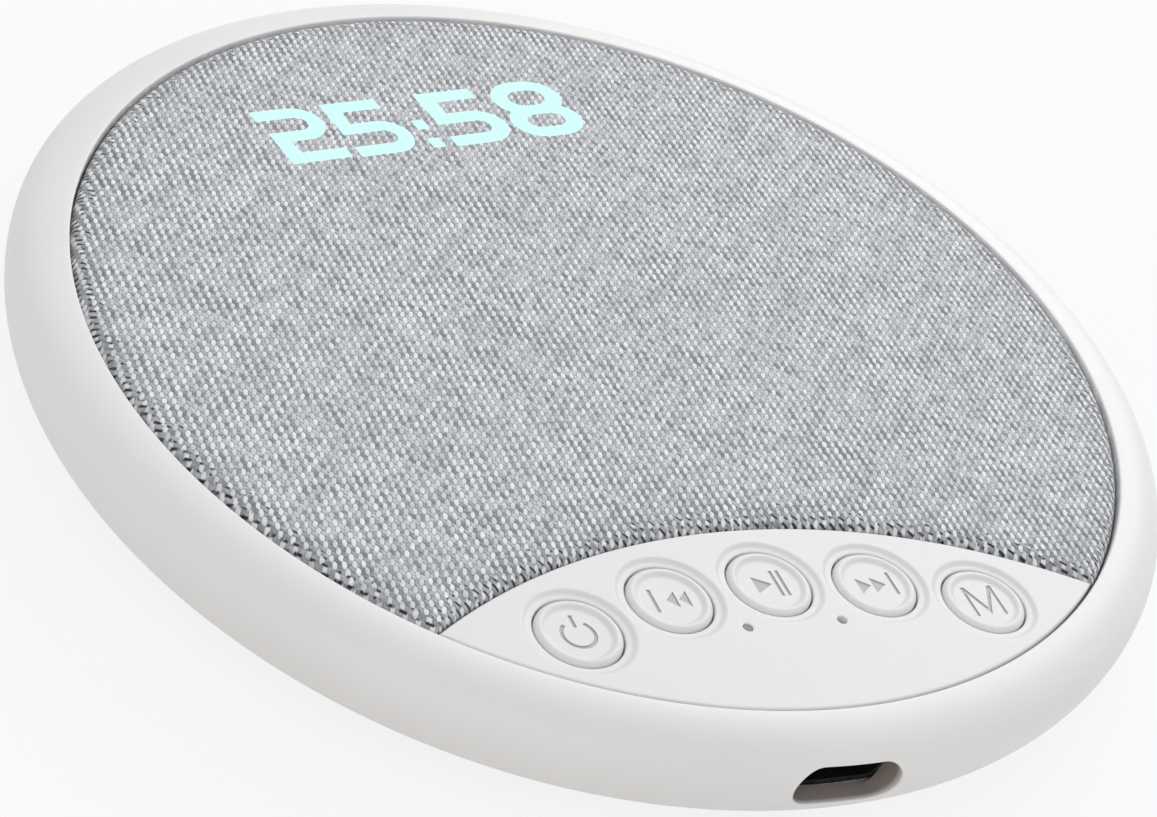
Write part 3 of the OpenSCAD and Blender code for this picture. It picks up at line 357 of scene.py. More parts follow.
# finishes of the inner pieces: dark and pale tone, gloss range, metal, grain per metre, its stretch, relief
finishes = dict(
    foot_rubber=((0.20, 0.20, 0.205), (0.27, 0.27, 0.275), (0.72, 0.88), 0.0, 2200, (1, 1, 1), 0.00004),
    screw_steel=((0.42, 0.42, 0.43), (0.62, 0.62, 0.63), (0.24, 0.4), 1.0, 900, (1, 1, 12), 0.00001),
    inner_black=((0.018, 0.018, 0.02), (0.03, 0.03, 0.033), (0.4, 0.55), 0.0, 1800, (1, 1, 1), 0.00002),
    bright_metal=((0.55, 0.55, 0.56), (0.74, 0.74, 0.75), (0.2, 0.34), 1.0, 1200, (1, 14, 1), 0.00001),
    contact_gold=((0.70, 0.50, 0.20), (0.86, 0.64, 0.30), (0.2, 0.32), 1.0, 1500, (1, 1, 1), 0.00001),
    circuit_board=((0.008, 0.055, 0.028), (0.02, 0.11, 0.055), (0.3, 0.45), 0.0, 420, (1, 6, 1), 0.00003),
    ceramic_tan=((0.42, 0.29, 0.17), (0.55, 0.40, 0.25), (0.4, 0.55), 0.0, 2600, (1, 1, 1), 0.00002),
    lamp_cream=((0.78, 0.72, 0.50), (0.86, 0.80, 0.58), (0.3, 0.42), 0.0, 1800, (1, 1, 1), 0.00001),
    light_guide=((0.62, 0.78, 0.76), (0.72, 0.88, 0.86), (0.2, 0.32), 0.0, 900, (1, 1, 1), 0.00001),
    film_white=((0.66, 0.66, 0.65), (0.74, 0.74, 0.73), (0.35, 0.5), 0.0, 1600, (1, 1, 1), 0.00001),
    ribbon_amber=((0.50, 0.24, 0.05), (0.64, 0.34, 0.09), (0.28, 0.4), 0.0, 900, (8, 1, 1), 0.00002),
    magnet_grey=((0.07, 0.07, 0.075), (0.12, 0.12, 0.125), (0.45, 0.6), 0.2, 2000, (1, 1, 1), 0.00003),
    coil_copper=((0.52, 0.22, 0.10), (0.72, 0.34, 0.17), (0.25, 0.38), 1.0, 900, (0.2, 0.2, 9), 0.00004),
    cone_paper=((0.05, 0.05, 0.052), (0.085, 0.085, 0.088), (0.7, 0.85), 0.0, 1500, (1, 1, 1), 0.00005),
    surround_rubber=((0.02, 0.02, 0.021), (0.035, 0.035, 0.036), (0.5, 0.65), 0.0, 1800, (1, 1, 1), 0.00002),
    foam_grey=((0.10, 0.10, 0.105), (0.20, 0.20, 0.205), (0.85, 0.95), 0.0, 2600, (1, 1, 1), 0.00012),
    lead_red=((0.42, 0.02, 0.02), (0.56, 0.04, 0.03), (0.35, 0.48), 0.0, 1500, (1, 1, 1), 0.00001),
    # the last two stand for a pale pipe and a nickel shell deep in their holes, made dark as painted shade
    pipe_painted_shade=((0.10, 0.10, 0.10), (0.16, 0.16, 0.16), (0.25, 0.4), 0.0, 900, (1, 1, 1), 0.00001),
    nickel_painted_shade=((0.012, 0.012, 0.013), (0.03, 0.029, 0.028), (0.35, 0.5), 0.6, 1200, (1, 14, 1), 0.00001),
    cell_wrap=((0.30, 0.36, 0.44), (0.40, 0.46, 0.54), (0.25, 0.38), 0.3, 700, (6, 1, 1), 0.00001),
)


grainMix = dict(coarser=12, fineShare=0.6, spread=(0.32, 0.68), bump=0.3)


def makeFinish(name, dark, pale, gloss, metal, grain, stretch, relief):
    # a grain of two sizes that shifts the tone, the gloss and the surface together
    net = Net(name)
    fine = net.noise(net.place(stretch), grain, 3)
    broad = net.noise(net.place(), grain / grainMix["coarser"], 2)
    share = grainMix["fineShare"]
    tone = net.step(fine * share + broad * (1 - share), *grainMix["spread"])
    return net.surface(Base_Color=net.mix(tone, dark, pale), Metallic=metal,
                       Roughness=gloss[0] + (gloss[1] - gloss[0]) * tone,
                       Normal=net.bump(fine, grainMix["bump"], relief))


shellPlastic = makePlastic("shellPlastic", whitePlastic["shell"], "paintedPortShade", whitePlastic["paintedPortShade"])
coverPlastic = makePlastic("coverPlastic", whitePlastic["shell"])
panelPlastic = makePlastic("panelPlastic", whitePlastic["panel"])
capPlastic = makePlastic("capPlastic", whitePlastic["panel"], "signShade", whitePlastic["iconShade"])
clothWeave = makeWeave()
finish = {name: makeFinish(name, *values) for name, values in finishes.items()}
finish.update(shell_white=coverPlastic, panel_white=panelPlastic, grille_cloth=clothWeave)
# these two get dark finishes as painted shade, for the shade deep in their holes
shaded = dict(light_pipe="pipe_painted_shade", usb_shell="nickel_painted_shade")  # both lie deep in their holes, in shade
for name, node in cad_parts.items():
    for slot in node.material_slots:
        slot.material = finish[shaded.get(name, slot.material.name.split(".")[0])]
print("finishes made:", len(finish))


rim = dict(radius=55.0, lowRound=6.5, high=3.85, fullness=2.4, lipRound=0.2, widest=7.5, mouth=50.0,
           foot=(46.05, 1.0), seat=(44.4, 3.6, 2.6), shelf=(46.5, 8.7, 7.7), hollowRound=4.6, hollowLow=5.0,
           columns=720, lowSteps=14, crownSteps=16, lipSteps=6, shelfRow=1.0, hollowSteps=3, seatSteps=4,
           slotColumns=14, slotLevels=16, slotBand=(4.3, 10.1), slotX=-0.8, slotZ=7.2, slotFlat=2.8,
           slotRound=2.2, slotEdge=0.2, slotEnd=(-52.7, -50.5), skinSteps=7, wallSteps=4, backSteps=3,
           recessSteps=(2, 4, 2, 5))  # with hollowSteps these add up to slotLevels


def rimRadius(z):
    # the bullnose: a round below its widest line, and above it a full oval, (x/a)^n + (z/b)^n = 1
    big, n, wide = rim["lowRound"], rim["fullness"], rim["radius"] - rim["mouth"] - rim["lipRound"]
    below = rim["radius"] - big + np.sqrt(np.maximum(big ** 2 - (z - rim["widest"]) ** 2, 0))
    share = np.clip((z - rim["widest"]) / rim["high"], 0, 1)
    return np.where(z < rim["widest"], below, rim["radius"] - wide * (1 - (1 - share ** n) ** (1 / n)))


def legs(corners, steps):
    # points along straight legs, each with its own number of steps, without the last corner
    parts = [np.linspace(a, b, n, endpoint=False) for a, b, n in zip(corners, corners[1:], steps)]
    return np.vstack(parts)


def makeRim():
    # a closed section spun round, less a window at the front that is patched from the slot's edge outwards;
    # the inner wall has a row for each of the slot's levels, so the patch joins it row by row
    levels, half, turns = rim["slotLevels"], rim["slotColumns"], rim["columns"]
    rows = np.linspace(*rim["slotBand"], levels + 1)
    lowAt = (rim["radius"] - rim["lowRound"], rim["widest"])
    lipAt = (rim["mouth"] + rim["lipRound"], rim["widest"] + rim["high"] - rim["lipRound"])
    lowTurn = np.degrees(np.arcsin((rows[0] - lowAt[1]) / rim["lowRound"]))
    highTurn = np.arcsin(((rows[-1] - rim["widest"]) / rim["high"]) ** (rim["fullness"] / 2))
    crownTurn = np.linspace(highTurn, np.pi / 2, rim["crownSteps"] + 1)
    crown = rim["widest"] + rim["high"] * np.sin(crownTurn) ** (2 / rim["fullness"])
    hollow = np.linspace(rim["shelf"][2], rim["hollowLow"], rim["hollowSteps"] + 1)
    hollowOut = lowAt[0] + np.sqrt(rim["hollowRound"] ** 2 - (hollow - rim["widest"]) ** 2)
    hollowWall = np.stack([hollowOut, hollow], 1)
    hollowTurn = np.degrees(np.arcsin((rim["hollowLow"] - rim["widest"]) / rim["hollowRound"]))
    seatTurn = np.degrees(np.arcsin((rim["seat"][1] - rim["widest"]) / rim["hollowRound"]))
    shelfIn, shelfTop, shelfLow = rim["shelf"]
    recess = [(rim["mouth"], shelfTop + rim["shelfRow"]), (rim["mouth"], shelfTop), (shelfIn, shelfTop),
              (shelfIn, shelfLow), tuple(hollowWall[0])]
    inner = np.vstack([legs(np.array(recess), rim["recessSteps"]), hollowWall])
    under = [legs(np.array([rim["foot"], (lowAt[0], rim["foot"][1])]), (2,)),
             arcPoints(lowAt, rim["lowRound"], -90, lowTurn, rim["lowSteps"])[:-1]]
    over = [np.stack([rimRadius(crown), crown], 1)[1:],
            arcPoints(lipAt, rim["lipRound"], 90, 180, rim["lipSteps"])[1:]]
    close = [arcPoints(lowAt, rim["hollowRound"], hollowTurn, seatTurn, rim["seatSteps"])[1:],
             np.array([(rim["seat"][0], rim["seat"][1]), (rim["seat"][0], rim["seat"][2]),
                       (rim["foot"][0], rim["seat"][2]), rim["foot"]])]
    outerAt = sum(map(len, under))
    innerAt = outerAt + len(rows) + sum(map(len, over))
    section = np.vstack(under + [np.stack([rimRadius(rows), rows], 1)] + over + [inner] + close)
    points = spin(section, turns)
    i, j = np.divmod(np.arange((len(section) - 1) * turns), turns)
    inFront = np.abs((j + turns // 2) % turns - turns // 2 + 0.5) < half
    inBand = ((i >= outerAt) & (i < outerAt + levels)) | ((i >= innerAt) & (i < innerAt + levels))
    ring = Patches()
    ring.grid(points, keep=~(inFront & inBand))

    # the window's edge, counted once round, in columns and levels
    side, up = np.arange(-half, half + 1), np.arange(levels + 1)
    column = np.concatenate([side, np.full(levels, half), side[::-1][1:], np.full(levels - 1, -half)])
    level = np.concatenate([0 * side, up[1:], np.full(2 * half, levels), up[::-1][1:-1]])
    a, z = column * 2 * np.pi / turns, rows[level]

    # where the ray from the slot's middle meets its outline, and the outline's normal there
    across, rise = a * rim["radius"], z - rim["slotZ"]
    flat, end = rim["slotFlat"], rim["slotRound"]
    onFlat = np.abs(across) * end <= flat * np.abs(rise)
    long = across ** 2 + rise ** 2
    reach = np.sqrt(np.maximum(end ** 2 * long - flat ** 2 * rise ** 2, 0))
    toEnd = (np.abs(across) * flat + reach) / long
    share = np.where(onFlat, end / np.maximum(np.abs(rise), tiny), toEnd)
    edgeX, edgeZ = across * share, rise * share
    normalX = np.where(onFlat, 0, (edgeX - np.sign(across) * flat) / end)
    normalZ = np.where(onFlat, np.sign(rise), edgeZ / end)
    edgeZ = edgeZ + rim["slotZ"]

    def onRim(x, height):
        # the rim's front face at that place
        return -np.sqrt(rimRadius(height) ** 2 - x ** 2)

    bandX, bandZ = edgeX + normalX * rim["slotEdge"], edgeZ + normalZ * rim["slotEdge"]
    bandA = np.arcsin(bandX / rimRadius(bandZ))
    t = np.linspace(0, 1, rim["skinSteps"] + 1)[:, None]
    skinA, skinZ = a + (bandA - a) * t, z + (bandZ - z) * t
    skin = np.stack([rimRadius(skinZ) * np.sin(skinA), -rimRadius(skinZ) * np.cos(skinA), skinZ], -1)
    turn = np.radians(np.linspace(0, 90, rim["skinSteps"] + 1))[1:, None]
    out, deep = rim["slotEdge"] * (1 - np.sin(turn)), rim["slotEdge"] * (1 - np.cos(turn))
    lipX, lipZ = edgeX + normalX * out, edgeZ + normalZ * out
    lip = np.stack([lipX, onRim(lipX, lipZ) + deep, lipZ], -1)
    height = (edgeZ - rim["slotZ"] + end) / (2 * end)
    wallEnd = rim["slotEnd"][0] + (rim["slotEnd"][1] - rim["slotEnd"][0]) * height
    t = np.linspace(0, 1, rim["wallSteps"] + 1)[1:, None]
    wallY = lip[-1, :, 1] + (wallEnd - lip[-1, :, 1]) * t
    wall = np.stack([edgeX + 0 * t, wallY, edgeZ + 0 * t], -1)
    back = inner[levels - level]
    backRow = np.stack([back[:, 0] * np.sin(a), -back[:, 0] * np.cos(a), back[:, 1]], -1)
    t = np.linspace(0, 1, rim["backSteps"] + 1)[1:, None, None]
    rule = wall[-1] + (backRow - wall[-1]) * t
    # the slot's wall and the rule back to the inner wall carry 1, the value that paints the port's shade;
    # skin and lip carry 0
    shade = np.concatenate([np.zeros(len(skin) + len(lip)), np.ones(len(wall) + len(rule))])
    ring.grid(np.vstack([skin, lip, wall, rule]), shade)
    t = rim["slotX"] / rim["radius"]  # the slot lies a little to the left of the front
    sideways = np.array([(np.cos(t), np.sin(t), 0), (-np.sin(t), np.cos(t), 0), (0, 0, 1)])
    ring.points = [points @ sideways for points in ring.points]
    return ring.piece("shell_ring", shellPlastic, "paintedPortShade")


shellRing = makeRim()
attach(shellRing, "case")
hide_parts("housing")
print("rim ring:", len(shellRing.data.polygons), "faces")


def middleOf(node):
    # the middle of a node's box, seen from above
    low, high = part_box(node)
    return np.array([(low.x + high.x) / 2, (low.y + high.y) / 2]) / mm


keys = ("power", "previous", "play", "next", "mode")
keyAt = {key: middleOf(key + "_button") for key in keys}
pinAt = [middleOf("light_pipe"), middleOf("mic_boot")]

panel = dict(ringRadius=49.74, arcRadius=58.0, arcY=-86.6, low=9.95, top=11.15, edge=0.2, rest=0.2,
             arcSteps=120, edgeSteps=6, dish=(5.06, 4.96), dishFloor=4.4, dishDepth=0.25, dishSteps=8,
             hole=3.95, holeEdge=0.12, holeSteps=72, pin=0.45, pinEdge=0.1, pinRest=0.15, pinSteps=24,
             roundSteps=4)


def lensLoop(inset):
    # the panel's outline, moved in: the rim's circle below, the cloth's arc above, between their crossings
    r, s, c = panel["ringRadius"] - inset, panel["arcRadius"] - inset, panel["arcY"]
    y = (r * r - s * s + c * c) / (2 * c)
    x = np.sqrt(r * r - y * y)
    a = np.linspace(-1, 1, panel["arcSteps"] + 1) * np.arctan2(x, -y)
    b = np.linspace(1, -1, panel["arcSteps"] + 1)[1:-1] * np.arctan2(x, y - c)
    below = np.stack([r * np.sin(a), -r * np.cos(a)], 1)
    above = np.stack([s * np.sin(b), c + s * np.cos(b)], 1)
    return np.vstack([below, above])


def makePanel():
    # rounded edge of inset outlines, soft dishes spun round each hole, and flat fills between them
    edge, top, low = panel["edge"], panel["top"], panel["low"]
    turn = np.radians(np.linspace(0, 90, panel["edgeSteps"] + 1))
    insets = np.concatenate([[0], edge * (1 - np.cos(turn)), [edge + panel["rest"]]])
    heights = np.concatenate([[low], top - edge * (1 - np.sin(turn)), [top]])
    side = np.stack([np.column_stack([lensLoop(d), np.full(2 * panel["arcSteps"], h)])
                     for d, h in zip(insets, heights)])
    plate = Patches()
    plate.grid(side)
    dishOut, dishIn = panel["dish"]
    bowl = np.linspace(dishIn, panel["dishFloor"], panel["dishSteps"] + 1)
    bowl = np.append(bowl, panel["hole"] + panel["holeEdge"])
    sunk = top - panel["dishDepth"] * ease((dishIn - bowl) / (dishIn - panel["dishFloor"]))
    holeMid = (bowl[-1], sunk[-1] - panel["holeEdge"])
    rolled = arcPoints(holeMid, panel["holeEdge"], 90, 180, panel["roundSteps"])[1:]
    dish = np.vstack([[(dishOut, top)], np.stack([bowl, sunk], 1), rolled, [(panel["hole"], low)]])
    pinIn = panel["pin"] + panel["pinEdge"]
    pinOut = pinIn + panel["pinRest"]
    pinRoll = arcPoints((pinIn, top - panel["pinEdge"]), panel["pinEdge"], 90, 180, panel["roundSteps"])
    pinHole = np.vstack([[(pinOut, top)], pinRoll, [(panel["pin"], low)]])
    for at in keyAt.values():
        plate.grid(spin(dish, panel["holeSteps"], at))
    for at in pinAt:
        plate.grid(spin(pinHole, panel["pinSteps"], at))

    def fillLevel(outline, keyRadius, pinRadius, height):
        # a level face inside the outline, less the round holes
        holes = [levelRing(at, keyRadius, panel["holeSteps"]) for at in keyAt.values()]
        holes += [levelRing(at, pinRadius, panel["pinSteps"]) for at in pinAt]
        cuts = [[hole] for hole in holes]
        plate.fill([outline] + holes, height, lambda p: inLoop(p, outline) & ~inShapes(p, cuts))

    fillLevel(lensLoop(insets[-1]), dishOut, pinOut, top)
    fillLevel(lensLoop(0), panel["hole"], panel["pin"], low)
    return plate.piece("key_panel", panelPlastic)


keyPanel = makePanel()
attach(keyPanel, "case")
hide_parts("control_panel")
print("panel:", len(keyPanel.data.polygons), "faces")


def strokeLoop(path, width):
    # both sides of a line, offset by half its width, with mitred corners
    apart = np.linalg.norm(np.diff(path, axis=0), axis=1) > tiny
    path = path[np.append(True, apart)]
    step = np.diff(path, axis=0)
    step /= np.linalg.norm(step, axis=1)[:, None]
    left = np.stack([-step[:, 1], step[:, 0]], 1)
    bisect = (left[:-1] + left[1:]) / (1 + (left[:-1] * left[1:]).sum(1))[:, None]
    out = np.vstack([left[:1], bisect, left[-1:]]) * width / 2
    return np.vstack([path + out, (path - out)[::-1]])


def bentPath(corners, rounds, steps=7):
    # a line of level and upright legs, with a quarter round of its own radius at each inner corner
    corners = np.array(corners, float)
    way = np.sign(np.round(np.diff(corners, axis=0), 6))
    parts = [corners[:1]]
    for at, before, after, r in zip(corners[1:-1], way[:-1], way[1:], rounds):
        t = np.radians(np.linspace(0, 90, steps + 1 if r else 1))[:, None]
        bend = r * (after - before) + r * (before * np.sin(t) - after * np.cos(t))
        parts.append(at + bend if r else at[None])
    return np.vstack(parts + [corners[-1:]])


def roundBox(low, high, r, steps=6):
    # a box outline with quarter-round corners
    corners = [((high[0] - r, low[1] + r), -90), ((high[0] - r, high[1] - r), 0),
               ((low[0] + r, high[1] - r), 90), ((low[0] + r, low[1] + r), 180)]
    return np.vstack([arcPoints(c, r, start, start + 90, steps) for c, start in corners])


cap = dict(top=11.13, low=8.0, stem=1.4, flange=(4.3, 9.3, 9.9), radius=3.8, edge=0.5, edgeSteps=7,
           columns=72, lip=(3.24, 2.72), lipDepth=0.26, lipSteps=6, floorRest=2.62, iconDepth=0.1, line=0.34)


def bar(x, low, high):
    # an upright line of a sign
    return [np.array([(x - cap["line"] / 2, low), (x + cap["line"] / 2, low),
                      (x + cap["line"] / 2, high), (x - cap["line"] / 2, high)])]


def wedge(base, tip, half):
    # an arrow head from its base to its tip; half is half its height
    return [np.array([(base, -half), (tip, 0.0), (base, half)][::1 if tip > base else -1])]


# the signs, in millimetres from each cap's middle
icons = dict(
    power=[[strokeLoop(arcPoints((-0.05, -0.1), 1.45, 128, 412, 40), cap["line"])], bar(-0.03, 0.7, 2.1)],
    previous=[bar(-1.5, -1.3, 1.35), wedge(0.7, -0.3, 0.95), wedge(1.85, 0.9, 0.95)],
    play=[wedge(-1.43, 0.25, 1.0), bar(0.72, -1.47, 1.56), bar(1.36, -1.47, 1.56)],
    next=[wedge(-1.64, -0.4, 0.95), wedge(-0.2, 1.1, 0.95), bar(1.8, -1.3, 1.4)],
    mode=[[np.array([(-1.54, -1.66), (-1.22, -1.66), (-1.22, 1.2), (0.07, -1.55), (1.36, 1.2),
                     (1.36, -1.66), (1.68, -1.66), (1.68, 1.88), (1.26, 1.88), (0.07, -0.72),
                     (-1.12, 1.88), (-1.54, 1.88)])]],
)


def makeCap(key):
    # a spun cap with a rounded rim, a soft slope down to a level floor, and the sign sunk into that floor
    at, body = keyAt[key], Patches()
    rimMid = (cap["radius"] - cap["edge"], cap["top"] - cap["edge"])
    rimTurn = arcPoints(rimMid, cap["edge"], 0, 90, cap["edgeSteps"])
    lip = np.linspace(*cap["lip"], cap["lipSteps"] + 1)
    lipZ = cap["top"] - cap["lipDepth"] * ease((lip[0] - lip) / (lip[0] - lip[-1]))
    wide, flangeLow, flangeTop = cap["flange"]
    foot = [(0, cap["low"]), (cap["stem"], cap["low"]), (cap["stem"], flangeLow), (wide, flangeLow),
            (wide, flangeTop), (cap["radius"], flangeTop)]
    section = np.vstack([foot, rimTurn, np.stack([lip, lipZ], 1), [(cap["floorRest"], lipZ[-1])]])
    body.grid(spin(section, cap["columns"], at))
    floor, sunk = lipZ[-1], lipZ[-1] - cap["iconDepth"]
    edge = levelRing(at, cap["floorRest"], cap["columns"])
    shapes = [[loop + at for loop in shape] for shape in icons[key]]
    loops = [loop for shape in shapes for loop in shape]
    body.fill([edge] + loops, floor, lambda p: inLoop(p, edge) & ~inShapes(p, shapes))
    # the sign's sunk floor and its walls carry the value that paints the groove's shade grey
    body.fill(loops, sunk, lambda p: inShapes(p, shapes), 1.0)
    for loop in loops:
        drop = np.stack([np.column_stack([loop, np.full(len(loop), h)]) for h in (floor, sunk)])
        body.grid(drop, (0.0, 1.0))
    piece = body.piece(key + "_cap", capPlastic, "signShade")
    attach(piece, key + "_key")
    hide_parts(key + "_button")
    return piece


caps = [makeCap(key) for key in keys]
print("caps:", len(caps))


roll = dict(lip=0.8, wide=1.0, wall=0.15, clear=0.01, inSteps=16, outSteps=18, columns=180, keep=0.33)


def makeSurround():
    # two level lips and a half-round between them, spun round the speaker's axis
    low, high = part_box("speaker_surround")
    z, wall = low.z / mm + roll["clear"], roll["wall"] - roll["clear"]
    outer = (high.x - low.x) / 2 / mm
    middle, half = outer - roll["lip"] - roll["wide"] / 2, roll["wide"] / 2
    inner = middle - half - roll["lip"]
    meet = np.degrees(np.arcsin(wall / (half + wall)))
    below = arcPoints((middle, z), half, 180, 0, roll["inSteps"])
    above = arcPoints((middle, z), half + wall, meet, 180 - meet, roll["outSteps"])
    section = np.vstack([[(inner, z)], below, [(outer, z), (outer, z + wall)], above,
                         [(inner, z + wall), (inner, z)]])
    body = Patches()
    body.grid(spin(section, roll["columns"], middleOf("speaker_surround")))
    piece = body.piece("surround_roll", finish["surround_rubber"])
    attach(piece, "case")
    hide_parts("speaker_surround")
    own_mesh(piece)
    return piece


surround = makeSurround()
print("surround:", len(surround.data.polygons), "faces")


cloth = dict(ringRadius=49.85, arcRadius=58.15, arcY=-86.6, top=11.6, roll=1.5, ringDrop=1.5, arcDrop=0.85,
             blend=6.0, ringShare=0.8, rest=3.0, ringSteps=420, arcSteps=130, rollSteps=10, crease=60,
             thick=0.4, flatDrop=0.55)  # the cloth follows about ringShare of its circle
# each digit: its box left, right, low and high; line widths; and what its own shape needs
clock = dict(turn=11.3, at=(-1.35, 31.8),
             two=dict(box=(-17.7, -10.8, -4.12, 4.4), line=(1.72, 1.58), inset=0.25, middle=0.488),
             five=dict(box=(-9.85, -2.65, -4.34, 4.34), line=(1.72, 1.6), inset=0.8, middle=0.506),
             fiveMore=dict(box=(1.12, 8.7, -4.56, 4.28), line=(1.95, 1.64), inset=0.78, middle=0.502),
             eight=dict(box=(9.3, 17.72, -4.88, 4.48), line=(2.0, 1.6), inset=0.1, middle=0.483,
                        outer=3.3, inner=1.3, spare=0.01),
             dots=((-0.83, -3.6), (-0.83, -0.55)), dot=(1.4, 1.55))


def clothLoop(inset):
    # the cloth's outline, moved in: round the rim from the right tip to the left, then back along the
    # panel's arc
    r, s, c = cloth["ringRadius"] - inset, cloth["arcRadius"] + inset, cloth["arcY"]
    y = (r * r - s * s + c * c) / (2 * c)
    x = np.sqrt(r * r - y * y)
    tip = np.arctan2(x, -y)
    a = np.linspace(tip, 2 * np.pi - tip, cloth["ringSteps"] + 1)
    b = np.linspace(-1, 1, cloth["arcSteps"] + 1)[1:-1] * np.arctan2(x, y - c)
    onRing = np.stack([r * np.sin(a), -r * np.cos(a)], 1)
    onArc = np.stack([s * np.sin(b), c + s * np.cos(b)], 1)
    return np.vstack([onRing, onArc])


def digitLoops(kind, digit):
    # one digit as closed loops: a line of even width bent in a square frame, then stretched into its box
    left, right, low, high = digit["box"]
    line = sum(digit["line"]) / 2
    stretch = np.array(digit["line"]) / line
    w, h = (right - left) / stretch[0], (high - low) / stretch[1]
    half, inset, middle = line / 2, digit["inset"], digit["middle"] * h
    if kind == "eight":
        loops = []
        for a, b in (((0, 0), (w, middle + half)), ((inset, middle - half), (w - inset, h))):
            room = (b[1] - a[1]) / 2 - digit["spare"]
            hole = (a[0] + line, a[1] + line), (b[0] - line, b[1] - line)
            loops.append([roundBox(a, b, min(digit["outer"], room)),
                          roundBox(*hole, min(digit["inner"], room - line))])
    elif kind == "two":
        bend = (h - half - middle) / 2
        path = [(0, h - half), (w - half, h - half), (w - half, middle), (inset + half, middle),
                (inset + half, half), (w, half)]
        loops = [[strokeLoop(bentPath(path, (bend, bend, 0, 0)), line)]]
    else:
        bend = (middle - half) / 2
        path = [(w - inset, h - half), (half, h - half), (half, middle), (w - half, middle),
                (w - half, half), (0, half)]
        loops = [[strokeLoop(bentPath(path, (0, 0, bend, bend)), line)]]
    return [[loop * stretch + (left, low) for loop in shape] for shape in loops]


def clockShapes():
    # the four lit digits and the colon, in the display's own level frame
    x, y = np.array(clock["dot"]) / 2
    dots = [[np.array([(u - x, v - y), (u + x, v - y), (u + x, v + y), (u - x, v + y)])]
            for u, v in clock["dots"]]
    digits = [digitLoops(kind, clock[name]) for name, kind in
              (("two", "two"), ("five", "five"), ("fiveMore", "five"), ("eight", "eight"))]
    return sum(digits, dots)


def makeCloth():
    # edge rolled down in inset outlines, and a level field with the digits' outlines laid into it
    ringSide = np.arange(cloth["ringSteps"] + 1)
    between = 2 * np.pi * cloth["ringRadius"] / cloth["ringSteps"] * cloth["ringShare"]
    far = np.minimum(ringSide, cloth["ringSteps"] - ringSide) * between  # from the nearer tip
    rise = (cloth["ringDrop"] - cloth["arcDrop"]) * ease(far / cloth["blend"])
    drop = np.concatenate([cloth["arcDrop"] + rise, np.full(cloth["arcSteps"] - 1, cloth["arcDrop"])])
    turn = np.radians(np.linspace(0, 90, cloth["rollSteps"] + 1))
    rows = [np.column_stack([clothLoop(cloth["roll"] * (1 - np.cos(t))),
                             cloth["top"] - drop * (1 - np.sin(t))]) for t in turn]
    inner = clothLoop(cloth["roll"] + cloth["rest"])
    rows.append(np.column_stack([inner, np.full(len(inner), cloth["top"])]))
    sheet = Patches()
    sheet.grid(np.stack(rows), np.append(np.cos(turn) * 0.5 + 0.5, 0.0))  # the value "edge" of the weave
    t = np.radians(clock["turn"])
    spinBack = np.array([(np.cos(t), np.sin(t)), (-np.sin(t), np.cos(t))])
    shapes = [[(loop + clock["at"]) @ spinBack for loop in shape] for shape in clockShapes()]
    loops = [loop for shape in shapes for loop in shape]
    sheet.fill([inner] + loops, cloth["top"], lambda p: inLoop(p, inner),
               mark=lambda p: inShapes(p, shapes))
    piece = sheet.piece("grille_weave", clothWeave, "edge", "lit", cloth["crease"], closed=False)
    skin = piece.modifiers.new("cloth thickness", "SOLIDIFY")
    skin.thickness, skin.offset = cloth["thick"] * mm, -1
    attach(piece, "case")
    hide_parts("grille_cloth")
    return piece


grille = makeCloth()
print("cloth:", len(grille.data.polygons), "faces")


# the photograph's view: turn, height and roll in degrees, distance and aim in millimetres
shot = dict(turn=-35.1334, height=35.7967, roll=20.2411, far=262.70, aimZ=11.15, right=-3.011, up=-8.161,
            lens=88.485, sensor=36.0, near=0.005)


def makeCamera():
    # the camera's own axes from the three angles; it stands far back from its aim, moved right and up
    a, e, r = (np.radians(shot[key]) for key in ("turn", "height", "roll"))
    back = np.array([np.sin(a) * np.cos(e), -np.cos(a) * np.cos(e), np.sin(e)])
    level = np.array([np.cos(a), np.sin(a), 0])
    rise = np.cross(back, level)
    right, up = np.cos(r) * level + np.sin(r) * rise, -np.sin(r) * level + np.cos(r) * rise
    at = np.array([0, 0, shot["aimZ"]]) + back * shot["far"] + right * shot["right"] + up * shot["up"]
    data = bpy.data.cameras.new("photoView")
    data.sensor_width, data.lens, data.clip_start = shot["sensor"], shot["lens"], shot["near"]
    camera = bpy.data.objects.new("photoView", data)
    bpy.context.scene.collection.objects.link(camera)
    place = Matrix.Identity(4)
    for column, axis in enumerate((right, up, back, at * mm)):
        for row in range(3):
            place[row][column] = axis[row]
    camera.matrix_world = place
    bpy.context.scene.camera = camera


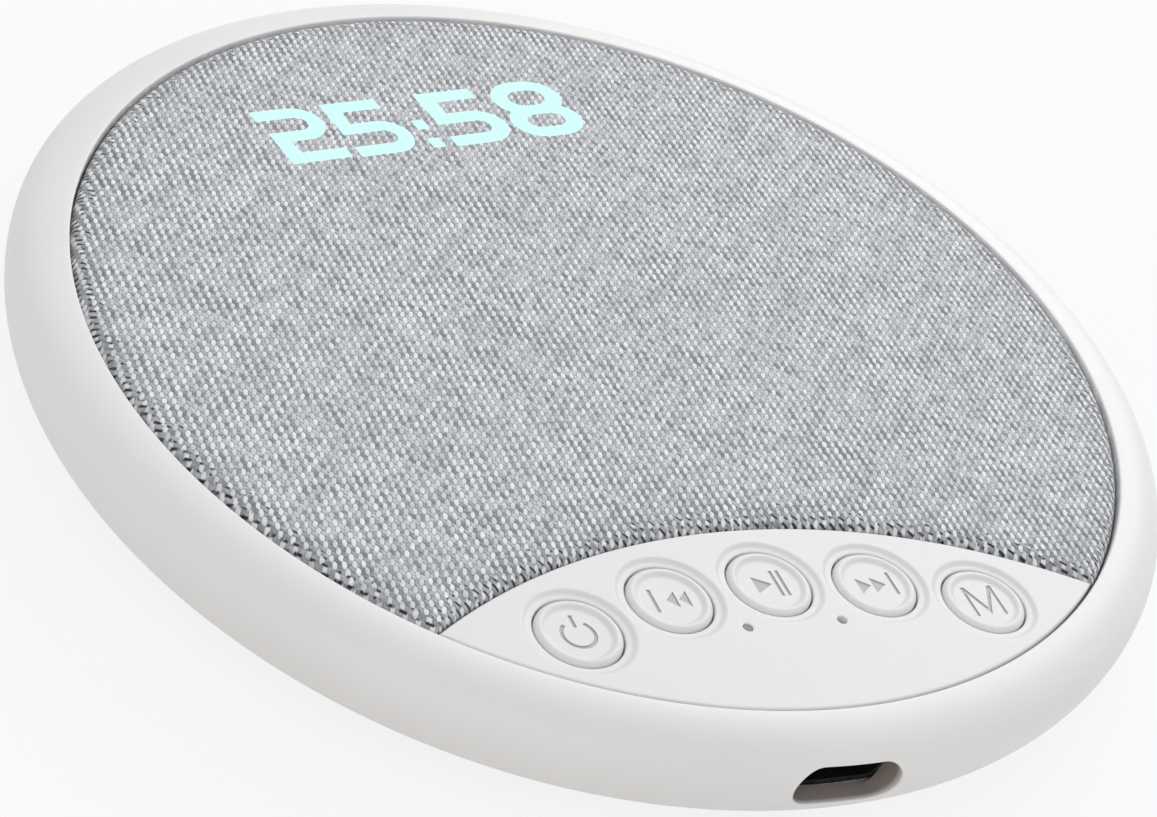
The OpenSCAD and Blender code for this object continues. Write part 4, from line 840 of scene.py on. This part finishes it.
studio = dict(fill=0.70, key=1.9, keyAt=(0.44, 0.40, 0.38), keySize=0.42, keyTone=(1.0, 1.0, 1.0),
              side=0.5, sideAt=(-0.42, -0.55, 0.30), sideSize=0.5, sideTone=(1.0, 0.975, 0.95),
              floor=(0.88, 0.852, 0.83), paper=0.82, floorSide=3.0)


def seenRays(net):
    # 1 for rays that show the background: straight, mirrored or through glass
    path = net.add("ShaderNodeLightPath")
    camera, glossy, through = (Val(net, path.outputs["Is %s Ray" % kind])
                               for kind in ("Camera", "Glossy", "Transmission"))
    return net.math("MAXIMUM", net.math("MAXIMUM", camera, glossy), through)


def makeStudio():
    # a white room, a sheet of paper that is partly lit and partly plain white, and two soft lamps
    scene = bpy.context.scene
    scene.world = bpy.data.worlds.new("studio")
    net = Net("studio", scene.world)
    light = studio["fill"] + (1 - studio["fill"]) * seenRays(net)
    sky = net.add("ShaderNodeBackground", {}, {"Color": (1, 1, 1, 1), "Strength": light})
    net.add("ShaderNodeOutputWorld", {}, {"Surface": sky.outputs[0]})

    net = Net("floorPaper")
    matt = net.add("ShaderNodeBsdfDiffuse", {}, {"Color": (*studio["floor"], 1)})
    white = net.add("ShaderNodeEmission", {}, {"Color": (1, 1, 1, 1), "Strength": 1.0})
    both = net.add("ShaderNodeMixShader", {},
                   {0: seenRays(net) * studio["paper"], 1: matt.outputs[0], 2: white.outputs[0]})
    net.add("ShaderNodeOutputMaterial", {}, {"Surface": both.outputs[0]})
    s = studio["floorSide"]
    mesh = bpy.data.meshes.new("floor")
    mesh.from_pydata([(-s, -s, 0), (s, -s, 0), (s, s, 0), (-s, s, 0)], [], [(0, 1, 2, 3)])
    mesh.materials.append(net.owner)
    floor = bpy.data.objects.new("floor", mesh)
    scene.collection.objects.link(floor)

    for name in ("key", "side"):
        lamp = bpy.data.lights.new(name + "Lamp", "AREA")
        lamp.energy, lamp.size, lamp.color = studio[name], studio[name + "Size"], studio[name + "Tone"]
        thing = bpy.data.objects.new(name + "Lamp", lamp)
        scene.collection.objects.link(thing)
        at = Vector(studio[name + "At"])
        thing.location = at
        thing.rotation_euler = (-at).to_track_quat("-Z", "Y").to_euler()
    scene.view_settings.view_transform = "Standard"


makeCamera()
makeStudio()
print("camera and studio set")
